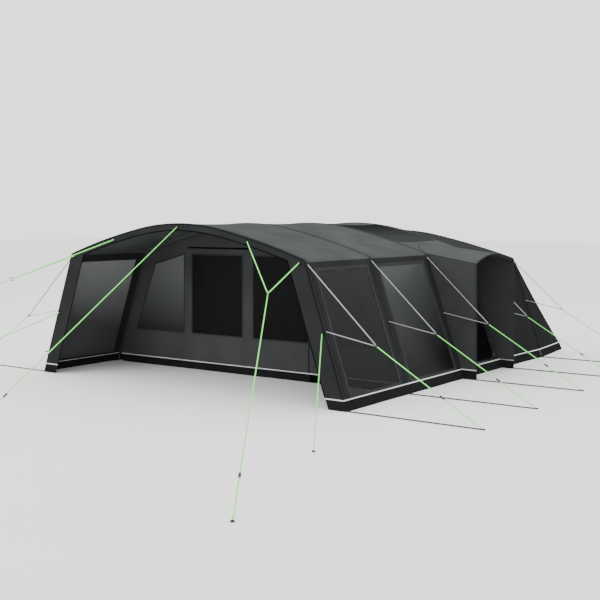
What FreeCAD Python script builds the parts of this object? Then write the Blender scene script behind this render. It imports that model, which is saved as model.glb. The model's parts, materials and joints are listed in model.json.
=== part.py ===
"""Five-hoop tunnel tent: poles in sleeves, fabric bays, doors, porches and guy lines.

Frame: +X to the right of someone looking in at the open front, +Y to the back, +Z up.
The origin is on the ground, in the middle of the tent's own box. Lengths are in millimetres.
"""
import FreeCAD
import Part

import math
import os

import Sketcher
from FreeCAD import Placement, Rotation, Vector

# alias: value, what it is
SIZES = {
    "ridge_rise": (2150, "ridge above the ground, hoops 1 to 4"),
    "shoulder_rise": (1721, "shoulder corner above the ground"),
    "shoulder_half": (2020, "shoulder corner from the centre plane"),
    "foot_half": (2609, "foot of the wall from the centre plane"),
    "rear_ridge_rise": (2019, "ridge of hoop 5"),
    "rear_shoulder_rise": (1573, "shoulder of hoop 5"),
    "rear_shoulder_half": (2149, "shoulder of hoop 5 from the centre plane"),
    "rear_foot_half": (2653, "foot of hoop 5 from the centre plane"),
    "rear_corner_half": (2534, "rear ground corner from the centre plane"),
    "rear_lip": (26, "height of the rear wall's bottom edge"),
    "crown_half": (707, "half-width of the tighter arc at the ridge"),
    "crown_angle": (11.5, "slope in degrees where that arc ends"),
    "shoulder_radius": (120, "bend at the shoulder"),
    "canopy_bay": (1424, "hoop 1 to hoop 2"),
    "living_bay": (1494, "hoop 2 to hoop 3"),
    "porch_bay": (1314, "hoop 3 to hoop 4"),
    "rear_bay": (1400, "hoop 4 to hoop 5"),
    "rear_run": (1160, "hoop 5 to the foot of the rear wall"),
    "cloth": (6, "thickness that stands for one fabric skin"),
    "pane": (3, "thickness of a window sheet"),
    "flap": (2.5, "thickness of the mud flap"),
    "flap_rise": (124, "height of the mud flap"),
    "seam": (0.3, "gap between pieces that are sewn or seated together"),
    "pole_radius": (11, "outside radius of every pole"),
    "pole_wall": (1.5, "wall of a pole tube"),
    "pole_fit": (0.3, "gap round a pole or a spigot"),
    "spigot_length": (60, "how far a spigot enters the next tube"),
    "elbow_leg": (150, "straight part of an elbow"),
    "sleeve_width": (52, "width of a pole sleeve"),
    "sleeve_depth": (28, "depth of a pole sleeve"),
    "foot_radius": (10, "radius of a pole's foot"),
    "foot_rise": (14, "height of a pole's foot"),
    "band_top": (92, "front band below the roof edge"),
    "band_leg": (240, "front band beside the wall edge"),
    "window_sill": (160, "side window's lower edge"),
    "window_head": (1592, "side window's upper edge"),
    "window_side": (150, "side window's edge from its hoop"),
    "front_sill": (530, "front window's lower edge"),
    "front_head": (1684, "front window's upper edge"),
    "mullion": (199, "wall between the two middle front windows"),
    "front_window": (948, "width of a middle front window"),
    "side_light_gap": (159, "wall between a middle window and a corner window"),
    "side_light_low": (974, "width of a corner window at the sill"),
    "side_light_top": (583, "width of a corner window at the head"),
    "side_light_drop": (156, "how far a corner window's outer end drops"),
    "front_door_hinge": (1066, "sewn edge of the front door from the centre plane"),
    "front_door_low": (1380, "width of the front door at the ground"),
    "front_door_top": (890, "width of the front door at its head"),
    "front_door_head": (1770, "head of the front door at its sewn edge"),
    "front_door_drop": (210, "how far the head drops to the outer edge"),
    "porch_reach": (2795, "outer edge of a side porch from the centre plane"),
    "porch_root": (1600, "where a porch roof starts, from the centre plane"),
    "porch_corner": (1590, "corner of a porch roof at its outer edge"),
    "porch_crown": (1714, "crown of a porch roof at its outer edge"),
    "porch_root_corner": (1790, "corner of a porch roof at its root"),
    "porch_root_crown": (1851, "crown of a porch roof at its root"),
    "porch_inset": (35, "porch wall from its hoop"),
    "side_door_start": (210, "side door's sewn edge from hoop 3"),
    "side_door_width": (960, "width of a side door"),
    "side_door_sill": (140, "side door's lower edge"),
    "side_door_head": (1330, "side door's upper edge"),
    "door_gap": (2, "gap round a door"),
    "vent_edge": (70, "side door's vent from the door's sides"),
    "vent_sill": (45, "side door's vent from the door's lower edge"),
    "vent_rise": (480, "height of a side door's vent"),
    "vent_radius": (110, "corner radius of that vent"),
    "light_start": (450, "roof window from the centre plane"),
    "light_end": (1500, "outer edge of a roof window"),
    "light_side": (60, "roof window from its hoops"),
    "sheet_half": (2440, "groundsheet's half-width"),
    "sheet_rise": (100, "height of the groundsheet's walls"),
    "sheet_thick": (4, "thickness of the groundsheet"),
    "guy_radius": (6, "green guy line"),
    "web_radius": (7, "webbing of bridles and ground straps"),
    "ring_radius": (22, "bridle ring, middle of its bar"),
    "ring_bar": (4, "radius of that bar"),
    "patch_thick": (3, "thickness of a sewn patch"),
    "patch_side": (64, "side of a sewn triangular patch"),
    "eyelet_radius": (16, "outside radius of a peg eyelet"),
    "eyelet_bore": (8, "bore radius of a peg eyelet"),
    "eyelet_height": (14, "height of a peg eyelet"),
    "runner_length": (60, "length of a guy runner"),
    "runner_width": (22, "width of a guy runner"),
    "runner_depth": (18, "depth of a guy runner"),
    "runner_fit": (0.4, "gap round the line in a runner"),
    "runner_rest": (520, "runner from its peg, along the line"),
    "slider_length": (34, "length of a zip slider"),
    "slider_width": (14, "width of a zip slider"),
    "slider_depth": (6, "depth of a zip slider"),
    "slider_edge": (24, "slider's middle from the door's free edge"),
    "side_peg": (4300, "side pegs from the centre plane"),
    "side_ring": (2981, "side bridle rings from the centre plane"),
    "side_ring_rise": (782, "side bridle rings above the ground"),
    "low_patch_rise": (897, "lower side patches above the ground"),
    "high_seat_half": (1160, "front bridle's upper seat from the centre plane"),
    "low_seat_in": (70, "front bridle's lower seat from the shoulder corner, sideways"),
    "low_seat_drop": (31, "front bridle's lower seat below the shoulder corner"),
    "front_ring_half": (2177, "front bridle ring from the centre plane"),
    "front_ring_ahead": (938, "front bridle ring ahead of hoop 1"),
    "front_ring_rise": (1397, "front bridle ring above the ground"),
    "front_peg_half": (4193, "front bridle's peg from the centre plane"),
    "front_peg_ahead": (3980, "front bridle's peg ahead of hoop 1"),
    "centre_peg_ahead": (3209, "centre line's peg ahead of hoop 1"),
    "leg_seat_rise": (870, "low front line's seat above the ground"),
    "leg_seat_inset": (35, "low front line's seat in from the wall's edge"),
    "low_peg_half": (3419, "low front line's peg from the centre plane"),
    "low_peg_ahead": (1845, "low front line's peg ahead of hoop 1"),
    "sheet_back": (145, "groundsheet's back edge from the rear ground line"),
    "slider_rest": (60, "zip slider's middle above the door's lower edge"),
}

doc = FreeCAD.newDocument("tent")
sheet = doc.addObject("Spreadsheet::Sheet", "Sizes")
for row, (alias, (value, meaning)) in enumerate(SIZES.items(), start=1):
    sheet.set(f"A{row}", meaning)
    sheet.set(f"B{row}", str(value))
    sheet.setAlias(f"B{row}", alias)
doc.recompute()


def size(alias):
    """A driving dimension, read from the sheet."""
    return float(sheet.get(alias))


NODES = {}


def keep(node, item):
    """Label an object of the document and list it as a node to write."""
    item.Label = node
    NODES[node] = item
    return item


def feature(node, solids):
    """A node whose shape is made here from Part's own functions."""
    solids = [solid.removeSplitter() for solid in solids]
    item = doc.addObject("Part::Feature", node)
    item.Shape = solids[0] if len(solids) == 1 else Part.makeCompound(solids)
    return keep(node, item)


def box(x0, x1, y0, y1, z0, z1):
    """A box between two corners."""
    low = Vector(min(x0, x1), min(y0, y1), min(z0, z1))
    return Part.makeBox(abs(x1 - x0), abs(y1 - y0), abs(z1 - z0), low)


def mirrored(shape):
    """The same shape on the left side of the tent."""
    return shape.mirror(Vector(0, 0, 0), Vector(1, 0, 0))


def both(shape):
    """A right-hand solid and its left-hand copy."""
    return [shape, mirrored(shape)]


def prism(points, direction):
    """A flat polygon pushed along a direction."""
    return Part.Face(Part.makePolygon(points + points[:1])).extrude(direction)


def swept(edges, radius):
    """A round bar along edges that join end to end."""
    path = Part.Wire(edges)
    first = path.OrderedEdges[0]
    start = first.firstVertex(True).Point
    onward = first.tangentAt(first.ParameterRange[0])
    if first.Orientation == "Reversed":
        onward = first.tangentAt(first.ParameterRange[1]) * -1
    ring = Part.Wire(Part.makeCircle(radius, start, onward))
    return path.makePipeShell([ring], True, True)


def rod(start, end, radius):
    """A straight round bar between two points."""
    return Part.makeCylinder(radius, (end - start).Length, start, end - start)


# ---------------------------------------------------------------------------- hoops

cloth = size("cloth")
seam = size("seam")
flap_rise = size("flap_rise")
sleeve_half = size("sleeve_width") / 2
sleeve_depth = size("sleeve_depth")
pole_inset = sleeve_depth / 2
# cutting tools reach past what they cut: below the ground, above the ridge, along the tent
# and through a wall
HULL_FLOOR = -40.0
TALL = 4000.0
LONG = 6000.0
PAST = 200.0


class Hoop:
    """One hoop's outline in the plane y: a wall line, a shoulder bend and a two-arc roof."""

    def __init__(self, y, ridge, shoulder, half, foot):
        self.y = y
        crown_half = size("crown_half")
        slope = math.radians(size("crown_angle"))
        bend = size("shoulder_radius")
        self.crown_radius = crown_half / math.sin(slope)
        self.crown_centre = (0.0, ridge - self.crown_radius)
        crown_end = self.crown_centre[1] + self.crown_radius * math.cos(slope)
        chord = math.atan((crown_end - shoulder) / (half - crown_half))
        end_slope = 2 * chord - slope
        self.roof_radius = (half - crown_half) / (math.sin(end_slope) - math.sin(slope))
        self.roof_centre = (
            crown_half - self.roof_radius * math.sin(slope),
            crown_end - self.roof_radius * math.cos(slope),
        )
        length = math.hypot(foot - half, shoulder)
        self.down = ((foot - half) / length, -shoulder / length)
        self.inward = (self.down[1], -self.down[0])
        # the bend's centre lies its radius inside both the wall line and the roof arc
        to_line = (
            half + bend * self.inward[0] - self.roof_centre[0],
            shoulder + bend * self.inward[1] - self.roof_centre[1],
        )
        along = to_line[0] * self.down[0] + to_line[1] * self.down[1]
        rest = along ** 2 - to_line[0] ** 2 - to_line[1] ** 2 + (self.roof_radius - bend) ** 2
        shift = min(-along + math.sqrt(rest), -along - math.sqrt(rest), key=abs)
        self.bend = bend
        self.bend_centre = (
            half + bend * self.inward[0] + shift * self.down[0],
            shoulder + bend * self.inward[1] + shift * self.down[1],
        )
        self.crown_slope = slope
        self.wall_slope = math.atan2(-self.inward[0], -self.inward[1])
        self.bend_slope = math.atan2(
            self.bend_centre[0] - self.roof_centre[0], self.bend_centre[1] - self.roof_centre[1]
        )

    def point(self, centre, radius, angle, side=1):
        """The point of an arc whose outward normal leans by angle from straight up."""
        x = centre[0] + radius * math.sin(angle)
        return Vector(side * x, self.y, centre[1] + radius * math.cos(angle))

    def wall(self, inset, z, side=1):
        """The point of the wall line at a height, inset from the outer face."""
        top = self.point(self.bend_centre, self.bend - inset, self.wall_slope)
        return Vector(side * (top.x + (top.z - z) * self.down[0] / -self.down[1]), self.y, z)

    def roof_arc(self, inset, start, end, side=1):
        """Part of the outer roof arc between two slopes."""
        radius = self.roof_radius - inset
        marks = [self.point(self.roof_centre, radius, angle, side)
                 for angle in (start, (start + end) / 2, end)]
        return Part.Arc(*marks).toShape()

    def bend_arc(self, inset, side=1):
        """The shoulder bend, from the wall up to the roof."""
        middle = (self.wall_slope + self.bend_slope) / 2
        marks = [self.point(self.bend_centre, self.bend - inset, angle, side)
                 for angle in (self.wall_slope, middle, self.bend_slope)]
        return Part.Arc(*marks).toShape()

    def wall_line(self, inset, z, side=1):
        """The wall from a height up to the shoulder bend."""
        top = self.point(self.bend_centre, self.bend - inset, self.wall_slope, side)
        return Part.LineSegment(self.wall(inset, z, side), top).toShape()

    def crown_arc(self, inset):
        """The arc across the ridge."""
        radius = self.crown_radius - inset
        marks = [self.point(self.crown_centre, radius, angle)
                 for angle in (self.crown_slope, 0, -self.crown_slope)]
        return Part.Arc(*marks).toShape()

    def over(self, inset, z):
        """The whole outline from the right foot over the ridge to the left foot."""
        half = [self.wall_line(inset, z), self.bend_arc(inset),
                self.roof_arc(inset, self.bend_slope, self.crown_slope)]
        other = [self.roof_arc(inset, self.crown_slope, self.bend_slope, -1),
                 self.bend_arc(inset, -1), self.wall_line(inset, z, -1)]
        return half + [self.crown_arc(inset)] + other

    def closed(self, inset, z):
        """The outline closed along the ground."""
        ground = Part.LineSegment(self.wall(inset, z, -1), self.wall(inset, z)).toShape()
        return Part.Wire(Part.__sortEdges__(self.over(inset, z) + [ground]))

    def band(self, outer, inner, z):
        """The strip between two insets, open at the ground."""
        caps = [Part.LineSegment(self.wall(outer, z, side), self.wall(inner, z, side)).toShape()
                for side in (1, -1)]
        return Part.Wire(Part.__sortEdges__(self.over(outer, z) + self.over(inner, z) + caps))


def at_y(wire, start, end):
    """A copy of a wire moved along Y from one plane to another."""
    return wire.translated(Vector(0, end - start, 0))


def slab(hoop, outer, inner, z, y0, y1):
    """A hoop-shaped skin between two planes."""
    face = Part.Face(at_y(hoop.band(outer, inner, z), hoop.y, y0))
    return face.extrude(Vector(0, y1 - y0, 0))


def hull(hoop, inset, z, y0, y1):
    """The full cross-section inside an inset, between two planes."""
    face = Part.Face(at_y(hoop.closed(inset, z), hoop.y, y0))
    return face.extrude(Vector(0, y1 - y0, 0))


front_face = sleeve_half + seam + cloth + seam + size("patch_thick")
tent_length = front_face + sum(
    size(name) for name in ("canopy_bay", "living_bay", "porch_bay", "rear_bay", "rear_run")
)
hoop_y = [front_face - tent_length / 2]
for name in ("canopy_bay", "living_bay", "porch_bay", "rear_bay"):
    hoop_y.append(hoop_y[-1] + size(name))
rear_y = hoop_y[4] + size("rear_run")

MAIN = ("ridge_rise", "shoulder_rise", "shoulder_half", "foot_half")
REAR = ("rear_ridge_rise", "rear_shoulder_rise", "rear_shoulder_half", "rear_foot_half")
hoops = [Hoop(y, *(size(name) for name in MAIN)) for y in hoop_y[:4]]
hoops.append(Hoop(hoop_y[4], *(size(name) for name in REAR)))
edge = sleeve_half + seam

# ---------------------------------------------------------------------------- poles

pole_radius = size("pole_radius")
tube_bore = pole_radius - size("pole_wall")
spigot_radius = tube_bore - size("pole_fit")
spigot_length = size("spigot_length")
foot_rise = size("foot_rise")
foot_radius = size("foot_radius")


def along_wall(hoop, distance, side=1):
    """The pole's axis at a distance below the shoulder bend."""
    top = hoop.point(hoop.bend_centre, hoop.bend - pole_inset, hoop.wall_slope)
    x = top.x + distance * hoop.down[0]
    return Vector(side * x, hoop.y, top.z + distance * hoop.down[1])


def elbow_roof_slope(hoop, distance):
    """The roof slope at a distance along the pole from the shoulder bend."""
    return hoop.bend_slope - distance / (hoop.roof_radius - pole_inset)


def elbow_path(hoop, reach, side=1):
    """The elbow's axis, reaching the same distance both ways from its bend."""
    bottom = along_wall(hoop, reach, side)
    top = along_wall(hoop, 0, side)
    lower = Part.LineSegment(bottom, top).toShape()
    upper = hoop.roof_arc(
        pole_inset, hoop.bend_slope, elbow_roof_slope(hoop, reach), side
    )
    return [lower, hoop.bend_arc(pole_inset, side), upper]


def make_elbow(hoop, side):
    """A bent connector with a spigot at each end."""
    reach = size("elbow_leg")
    body = swept(elbow_path(hoop, reach, side), pole_radius)
    core = swept(elbow_path(hoop, reach + spigot_length, side), spigot_radius)
    return body.fuse(core)


def make_roof_pole(hoop):
    """The curved tube between two elbows."""
    start = elbow_roof_slope(hoop, size("elbow_leg") + seam)
    path = [
        hoop.roof_arc(pole_inset, start, hoop.crown_slope),
        hoop.crown_arc(pole_inset),
        hoop.roof_arc(pole_inset, hoop.crown_slope, start, -1),
    ]
    return swept(path, pole_radius).cut(swept(path, tube_bore))


def make_leg(hoop, side):
    """The straight tube from the foot up to the elbow."""
    top = along_wall(hoop, size("elbow_leg") + seam, side)
    lean = pole_radius * hoop.down[0] / -hoop.down[1]
    bottom = hoop.wall(pole_inset, foot_rise + seam + lean, side)
    return rod(bottom, top, pole_radius).cut(rod(bottom, top, tube_bore))


def make_foot(hoop, side):
    """A plug that stands on the ground and enters the leg."""
    low = hoop.wall(pole_inset, HULL_FLOOR, side)
    pad = rod(low, hoop.wall(pole_inset, foot_rise, side), foot_radius)
    spigot_top = hoop.wall(pole_inset, foot_rise + spigot_length, side)
    spigot = rod(low, spigot_top, spigot_radius)
    ground = box(-TALL, TALL, hoop.y - PAST, hoop.y + PAST, 0, TALL)
    return pad.fuse(spigot).common(ground)


def make_sleeve(hoop):
    """The fabric tunnel that holds one hoop, with its bore."""
    strip = slab(hoop, 0, sleeve_depth, flap_rise + seam, hoop.y - sleeve_half,
                 hoop.y + sleeve_half)
    bore = swept(hoop.over(pole_inset, flap_rise - spigot_length),
                 pole_radius + size("pole_fit"))
    return strip.cut(bore)


for number, hoop in enumerate(hoops, start=1):
    feature(f"roof_pole_{number}", [make_roof_pole(hoop)])
    feature(f"sleeve_{number}", [make_sleeve(hoop)])
for side, word in ((1, "right"), (-1, "left")):
    feature(f"leg_poles_{word}", [make_leg(hoop, side) for hoop in hoops])
feature("elbows", [make_elbow(hoop, side) for hoop in hoops for side in (1, -1)])
feature("pole_feet", [make_foot(hoop, side) for hoop in hoops for side in (1, -1)])

# ---------------------------------------------------------------------------- skins

main_hoop = hoops[0]
window_side = size("window_side")
light_side = size("light_side")


def side_window(start, end, gap):
    """The space of a right-hand side window between two hoops, less a gap all round."""
    return box(size("shoulder_half") - PAST, size("foot_half") + PAST, start + window_side + gap,
               end - window_side - gap, size("window_sill") + gap, size("window_head") - gap)


def roof_window(gap):
    """The space of the right-hand roof window, less a gap all round."""
    return box(size("light_start") + gap, size("light_end") - gap,
               hoop_y[2] + sleeve_half + light_side + gap,
               hoop_y[3] - sleeve_half - light_side - gap,
               size("shoulder_rise"), size("ridge_rise") + PAST)


def bay(first, last, openings):
    """One bay's skin with openings cut on both sides."""
    skin = slab(main_hoop, 0, cloth, flap_rise + seam, hoop_y[first] + edge,
                hoop_y[last] - edge)
    for opening in openings:
        for tool in both(opening):
            skin = skin.cut(tool)
    return skin


def pane_in(opening, start, end):
    """A window sheet in the middle of the cloth's thickness, on both sides."""
    middle = (cloth - size("pane")) / 2
    layer = slab(main_hoop, middle, middle + size("pane"), flap_rise, start, end)
    return both(layer.common(opening))


# side doors lie in the wall's slope
door_gap = size("door_gap")
side_door_y = hoop_y[2] + size("side_door_start")
side_door_end = side_door_y + size("side_door_width")


def side_doorway(gap):
    """The space of the right-hand side doorway, less a gap at all but its sewn edge."""
    sewn = seam if gap else 0
    return box(size("shoulder_half") - PAST, size("foot_half") + PAST, side_door_y + sewn,
               side_door_end - gap, size("side_door_sill") + gap,
               size("side_door_head") - gap)


def vent_space(gap):
    """The rounded vent low in the right-hand side door."""
    inset = size("vent_edge") + gap
    low = size("side_door_sill") + size("vent_sill") + gap
    high = low + size("vent_rise") - 2 * gap
    block = box(size("shoulder_half") - PAST, size("foot_half") + PAST, side_door_y + inset,
                side_door_end - inset, low, high)
    across = [item for item in block.Edges if abs(item.tangentAt(0).x) > 0.9]
    return block.makeFillet(size("vent_radius") - gap, across)


feature("canopy_bay", [bay(0, 1, [side_window(hoop_y[0], hoop_y[1], 0)])])
feature("living_bay", [bay(1, 2, [side_window(hoop_y[1], hoop_y[2], 0)])])
feature("porch_bay", [bay(2, 3, [side_doorway(0), roof_window(0)])])

side_panes = []
for first in (0, 1):
    start, end = hoop_y[first], hoop_y[first + 1]
    side_panes += pane_in(side_window(start, end, seam), start, end)
feature("side_windows", side_panes)
feature("roof_windows", pane_in(roof_window(seam), hoop_y[2], hoop_y[3]))


def lofted_band(outer, inner, z):
    """The skin that narrows from hoop 4 to hoop 5."""
    start = at_y(hoops[3].band(outer, inner, z), hoop_y[3], hoop_y[3] + edge)
    end = at_y(hoops[4].band(outer, inner, z), hoop_y[4], hoop_y[4] - edge)
    return Part.makeLoft([start, end], True, True)


feature("rear_bay", [lofted_band(0, cloth, flap_rise + seam)])


def rear_hull(inset, z):
    """The closed form behind hoop 5, from its outline down to the rear ground line."""
    start = hoop_y[4] + edge
    lift = size("rear_lip")
    last = rear_y - inset
    corner = size("rear_corner_half") - inset
    outline = []
    # the ends of the bends and of the crown arc come down to these shares of the half-width
    shares = [0.98, 0.35, -0.35, -0.98]
    feet = [Vector(corner, last, z), Vector(corner, last, lift)]
    feet += [Vector(corner * share, last, lift) for share in shares]
    feet += [Vector(-corner, last, lift), Vector(-corner, last, z)]
    for first, second in zip(feet, feet[1:] + feet[:1]):
        outline.append(Part.LineSegment(first, second).toShape())
    end = Part.Wire(outline)
    ground = Part.LineSegment(hoops[4].wall(inset, z, -1), hoops[4].wall(inset, z)).toShape()
    begin = at_y(Part.Wire(hoops[4].over(inset, z) + [ground]), hoop_y[4], start)
    return Part.makeLoft([begin, end], True, True)


def rear_shell(outer, inner, z0, z1):
    """The rear skin between two insets and two heights."""
    shell = rear_hull(outer, HULL_FLOOR).cut(rear_hull(inner, 2 * HULL_FLOOR))
    return shell.common(box(-TALL, TALL, hoop_y[4], rear_y + PAST, z0, z1))


feature("rear_end", [rear_shell(0, cloth, flap_rise + seam, TALL)])

# ---------------------------------------------------------------------------- front band

band_y = hoop_y[0] - sleeve_half - seam - cloth


def band_opening(y0, y1):
    """The canopy's open front: the roof line set down, between two sloping sides."""
    low = main_hoop.wall(0, HULL_FLOOR).x
    high = main_hoop.wall(0, TALL / 2).x
    shift = size("band_leg") / -main_hoop.down[1]
    corners = [(low - shift, HULL_FLOOR), (high - shift, TALL / 2),
               (shift - high, TALL / 2), (shift - low, HULL_FLOOR)]
    sides = prism([Vector(x, y0, z) for x, z in corners], Vector(0, y1 - y0, 0))
    return hull(main_hoop, size("band_top"), HULL_FLOOR, y0, y1).common(sides)


band_outer = hull(main_hoop, 0, flap_rise + seam, band_y, band_y + cloth)
feature("front_band", [band_outer.cut(band_opening(band_y - PAST, band_y + PAST))])

# ---------------------------------------------------------------------------- front wall

wall_y0 = hoop_y[1] - cloth / 2
pane_y0 = hoop_y[1] - size("pane") / 2


def flat_prism(points, y0, depth):
    """A polygon given as (x, z) in an XZ plane, pushed back."""
    return prism([Vector(x, y0, z) for x, z in points], Vector(0, depth, 0))


def corner_light(side, gap):
    """Corner window: level sill, sloping head, slanted outer edge."""
    inner = size("mullion") / 2 + size("front_window") + size("side_light_gap") + gap
    low = inner - gap + size("side_light_low") - gap
    top = inner - gap + size("side_light_top") - gap
    sill = size("front_sill") + gap
    head = size("front_head") - gap
    drop = head - size("side_light_drop")
    return [(side * inner, sill), (side * low, sill), (side * top, drop), (side * inner, head)]


def middle_light(side, gap):
    """One of the two upright windows in the middle."""
    inner = size("mullion") / 2 + gap
    outer = inner - gap + size("front_window") - gap
    sill = size("front_sill") + gap
    head = size("front_head") - gap
    return [(side * inner, sill), (side * outer, sill), (side * outer, head),
            (side * inner, head)]


def front_doorway(gap):
    """The front door's outline, less a gap at all but its sewn edge."""
    sewn = size("front_door_hinge") + (seam if gap else 0)
    sill = flap_rise + seam + gap
    low = size("front_door_hinge") + size("front_door_low") - gap
    top = size("front_door_hinge") + size("front_door_top") - gap
    head = size("front_door_head") - gap
    return [(sewn, sill), (low, sill), (top, head - size("front_door_drop")), (sewn, head)]


front_wall = hull(main_hoop, sleeve_depth + seam, flap_rise + seam, wall_y0, wall_y0 + cloth)
wall_lights = [corner_light(-1, 0), middle_light(-1, 0), middle_light(1, 0)]
for outline in wall_lights + [front_doorway(0)]:
    front_wall = front_wall.cut(flat_prism(outline, wall_y0 - PAST, 2 * PAST))
feature("front_wall", [front_wall])
pane_lights = [corner_light(-1, seam), middle_light(-1, seam), middle_light(1, seam)]
feature("front_windows", [flat_prism(outline, pane_y0, size("pane")) for outline in pane_lights])

door_panel = flat_prism(front_doorway(door_gap), wall_y0, cloth)
door_light_hole = flat_prism(corner_light(1, 0), wall_y0 - PAST, 2 * PAST)
feature("front_door", [door_panel.cut(door_light_hole)])
feature("front_door_window", [flat_prism(corner_light(1, seam), pane_y0, size("pane"))])

# ---------------------------------------------------------------------------- side doors

door_layer = slab(main_hoop, 0, cloth, flap_rise, side_door_y - PAST, side_door_end + PAST)
right_door = door_layer.common(side_doorway(door_gap)).cut(vent_space(0))
vent_middle = (cloth - size("pane")) / 2
vent_layer = slab(main_hoop, vent_middle, vent_middle + size("pane"), flap_rise,
                  side_door_y - PAST, side_door_end + PAST)
right_vent = vent_layer.common(vent_space(seam))
feature("side_door_right", [right_door])
feature("side_door_left", [mirrored(right_door)])
feature("side_door_vent_right", [right_vent])
feature("side_door_vent_left", [mirrored(right_vent)])

# ---------------------------------------------------------------------------- porches

porch_y0 = hoop_y[2] + size("porch_inset")
porch_y1 = hoop_y[3] - size("porch_inset")


def porch_outline(x, corner, crown, inset, z):
    """A porch's cross-section at x: two upright walls under a bowed roof."""
    y0, y1 = porch_y0 + inset, porch_y1 - inset
    top = corner - inset
    middle = Vector(x, (y0 + y1) / 2, crown - inset)
    points = [Vector(x, y0, z), Vector(x, y0, top), Vector(x, y1, top), Vector(x, y1, z)]
    edges = [
        Part.LineSegment(points[0], points[1]).toShape(),
        Part.Arc(points[1], middle, points[2]).toShape(),
        Part.LineSegment(points[2], points[3]).toShape(),
        Part.LineSegment(points[3], points[0]).toShape(),
    ]
    return Part.Wire(edges)


def porch_hull(inset, z, reach):
    """The porch's full form from its root on the roof out to its open side."""
    root, tip = size("porch_root"), size("porch_reach")
    run = (reach - root) / (tip - root)
    corner = size("porch_root_corner") + run * (size("porch_corner") - size("porch_root_corner"))
    crown = size("porch_root_crown") + run * (size("porch_crown") - size("porch_root_crown"))
    inner = porch_outline(root, size("porch_root_corner"), size("porch_root_crown"), inset, z)
    outer = porch_outline(reach, corner, crown, inset, z)
    return Part.makeLoft([inner, outer], True, True)


def make_porch(thickness, z0, z1):
    """The right porch's walls and roof between two heights, outside the tent's own skin."""
    reach = size("porch_reach")
    outer = porch_hull(0, z0, reach)
    inner = porch_hull(thickness, HULL_FLOOR, reach + PAST)
    tent = hull(main_hoop, -seam, HULL_FLOOR, porch_y0 - PAST, porch_y1 + PAST)
    room = box(0, TALL, porch_y0 - PAST, porch_y1 + PAST, z0, z1)
    return outer.cut(inner).cut(tent).common(room)


porch = make_porch(cloth, flap_rise + seam, TALL)
feature("porches", both(porch))

# ---------------------------------------------------------------------------- mud flap

flap = size("flap")


def below_flap_line(shape):
    """The part of a shape that lies in the mud flap's height."""
    return shape.common(box(-TALL, TALL, -LONG, LONG, 0, flap_rise))


def leg_space(hoop, side):
    """The space of a leg and its foot, with the gap round a pole."""
    low = hoop.wall(pole_inset, HULL_FLOOR, side)
    return rod(low, along_wall(hoop, 0, side), pole_radius + size("pole_fit"))


def side_flaps():
    """The strips along both side walls, from the front band to hoop 5, clear of the legs."""
    straight = slab(main_hoop, 0, flap, 0, band_y + cloth + seam, hoop_y[3] + edge - seam)
    for hoop in hoops[:4]:
        for side in (1, -1):
            straight = straight.cut(leg_space(hoop, side))
    narrowing = lofted_band(0, flap, 0)
    return below_flap_line(straight).Solids + below_flap_line(narrowing).Solids


def front_flaps():
    """The strips under the front band's two legs."""
    outer = hull(main_hoop, 0, 0, band_y + cloth - flap, band_y + cloth)
    return below_flap_line(outer.cut(band_opening(band_y - PAST, band_y + PAST))).Solids


def front_wall_flap():
    """The strip under the front wall and its door, inside hoop 2's two leaning legs."""
    clear = max(sleeve_depth, pole_inset + pole_radius, pole_inset + foot_radius) + seam
    strip = hull(main_hoop, clear, 0, hoop_y[1] - flap / 2, hoop_y[1] + flap / 2)
    return below_flap_line(strip).Solids


rear_strips = rear_shell(0, flap, 0, flap_rise).Solids
porch_strips = [solid for half in both(make_porch(flap, 0, flap_rise)) for solid in half.Solids]
feature("mud_flap", side_flaps() + front_flaps() + front_wall_flap() + rear_strips + porch_strips)

# ---------------------------------------------------------------------------- groundsheet

tray_y0 = hoop_y[1] + flap / 2 + seam
tray_y1 = rear_y - size("sheet_back")
sheet_thick = size("sheet_thick")
tray = doc.addObject("Part::Box", "tray")
tray.setExpression("Length", "2 * Sizes.sheet_half")
tray.setExpression("Height", "Sizes.sheet_rise")
tray.Width = tray_y1 - tray_y0
tray.Placement = Placement(Vector(-size("sheet_half"), tray_y0, 0), Rotation())
tray_room = doc.addObject("Part::Box", "tray_room")
tray_room.setExpression("Length", "2 * (Sizes.sheet_half - Sizes.sheet_thick)")
tray_room.setExpression("Height", "Sizes.sheet_rise")
tray_room.Width = tray_y1 - tray_y0 - 2 * sheet_thick
corner = Vector(sheet_thick - size("sheet_half"), tray_y0 + sheet_thick, sheet_thick)
tray_room.Placement = Placement(corner, Rotation())
groundsheet = doc.addObject("Part::Cut", "groundsheet")
groundsheet.Base = tray
groundsheet.Tool = tray_room
keep("groundsheet", groundsheet)

# ---------------------------------------------------------------------------- guy lines

guy_radius = size("guy_radius")
web_radius = size("web_radius")
ring_radius = size("ring_radius")
ring_bar = size("ring_bar")
patch_thick = size("patch_thick")
eyelet_radius = size("eyelet_radius")
eyelet_height = size("eyelet_height")


def eyelet_end(peg, flat):
    """Where a line that comes in along flat ends, just inside its eyelet's outer face."""
    foot = peg - flat * (eyelet_radius - 4 * seam)
    return Vector(foot.x, foot.y, eyelet_height / 2)


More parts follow.
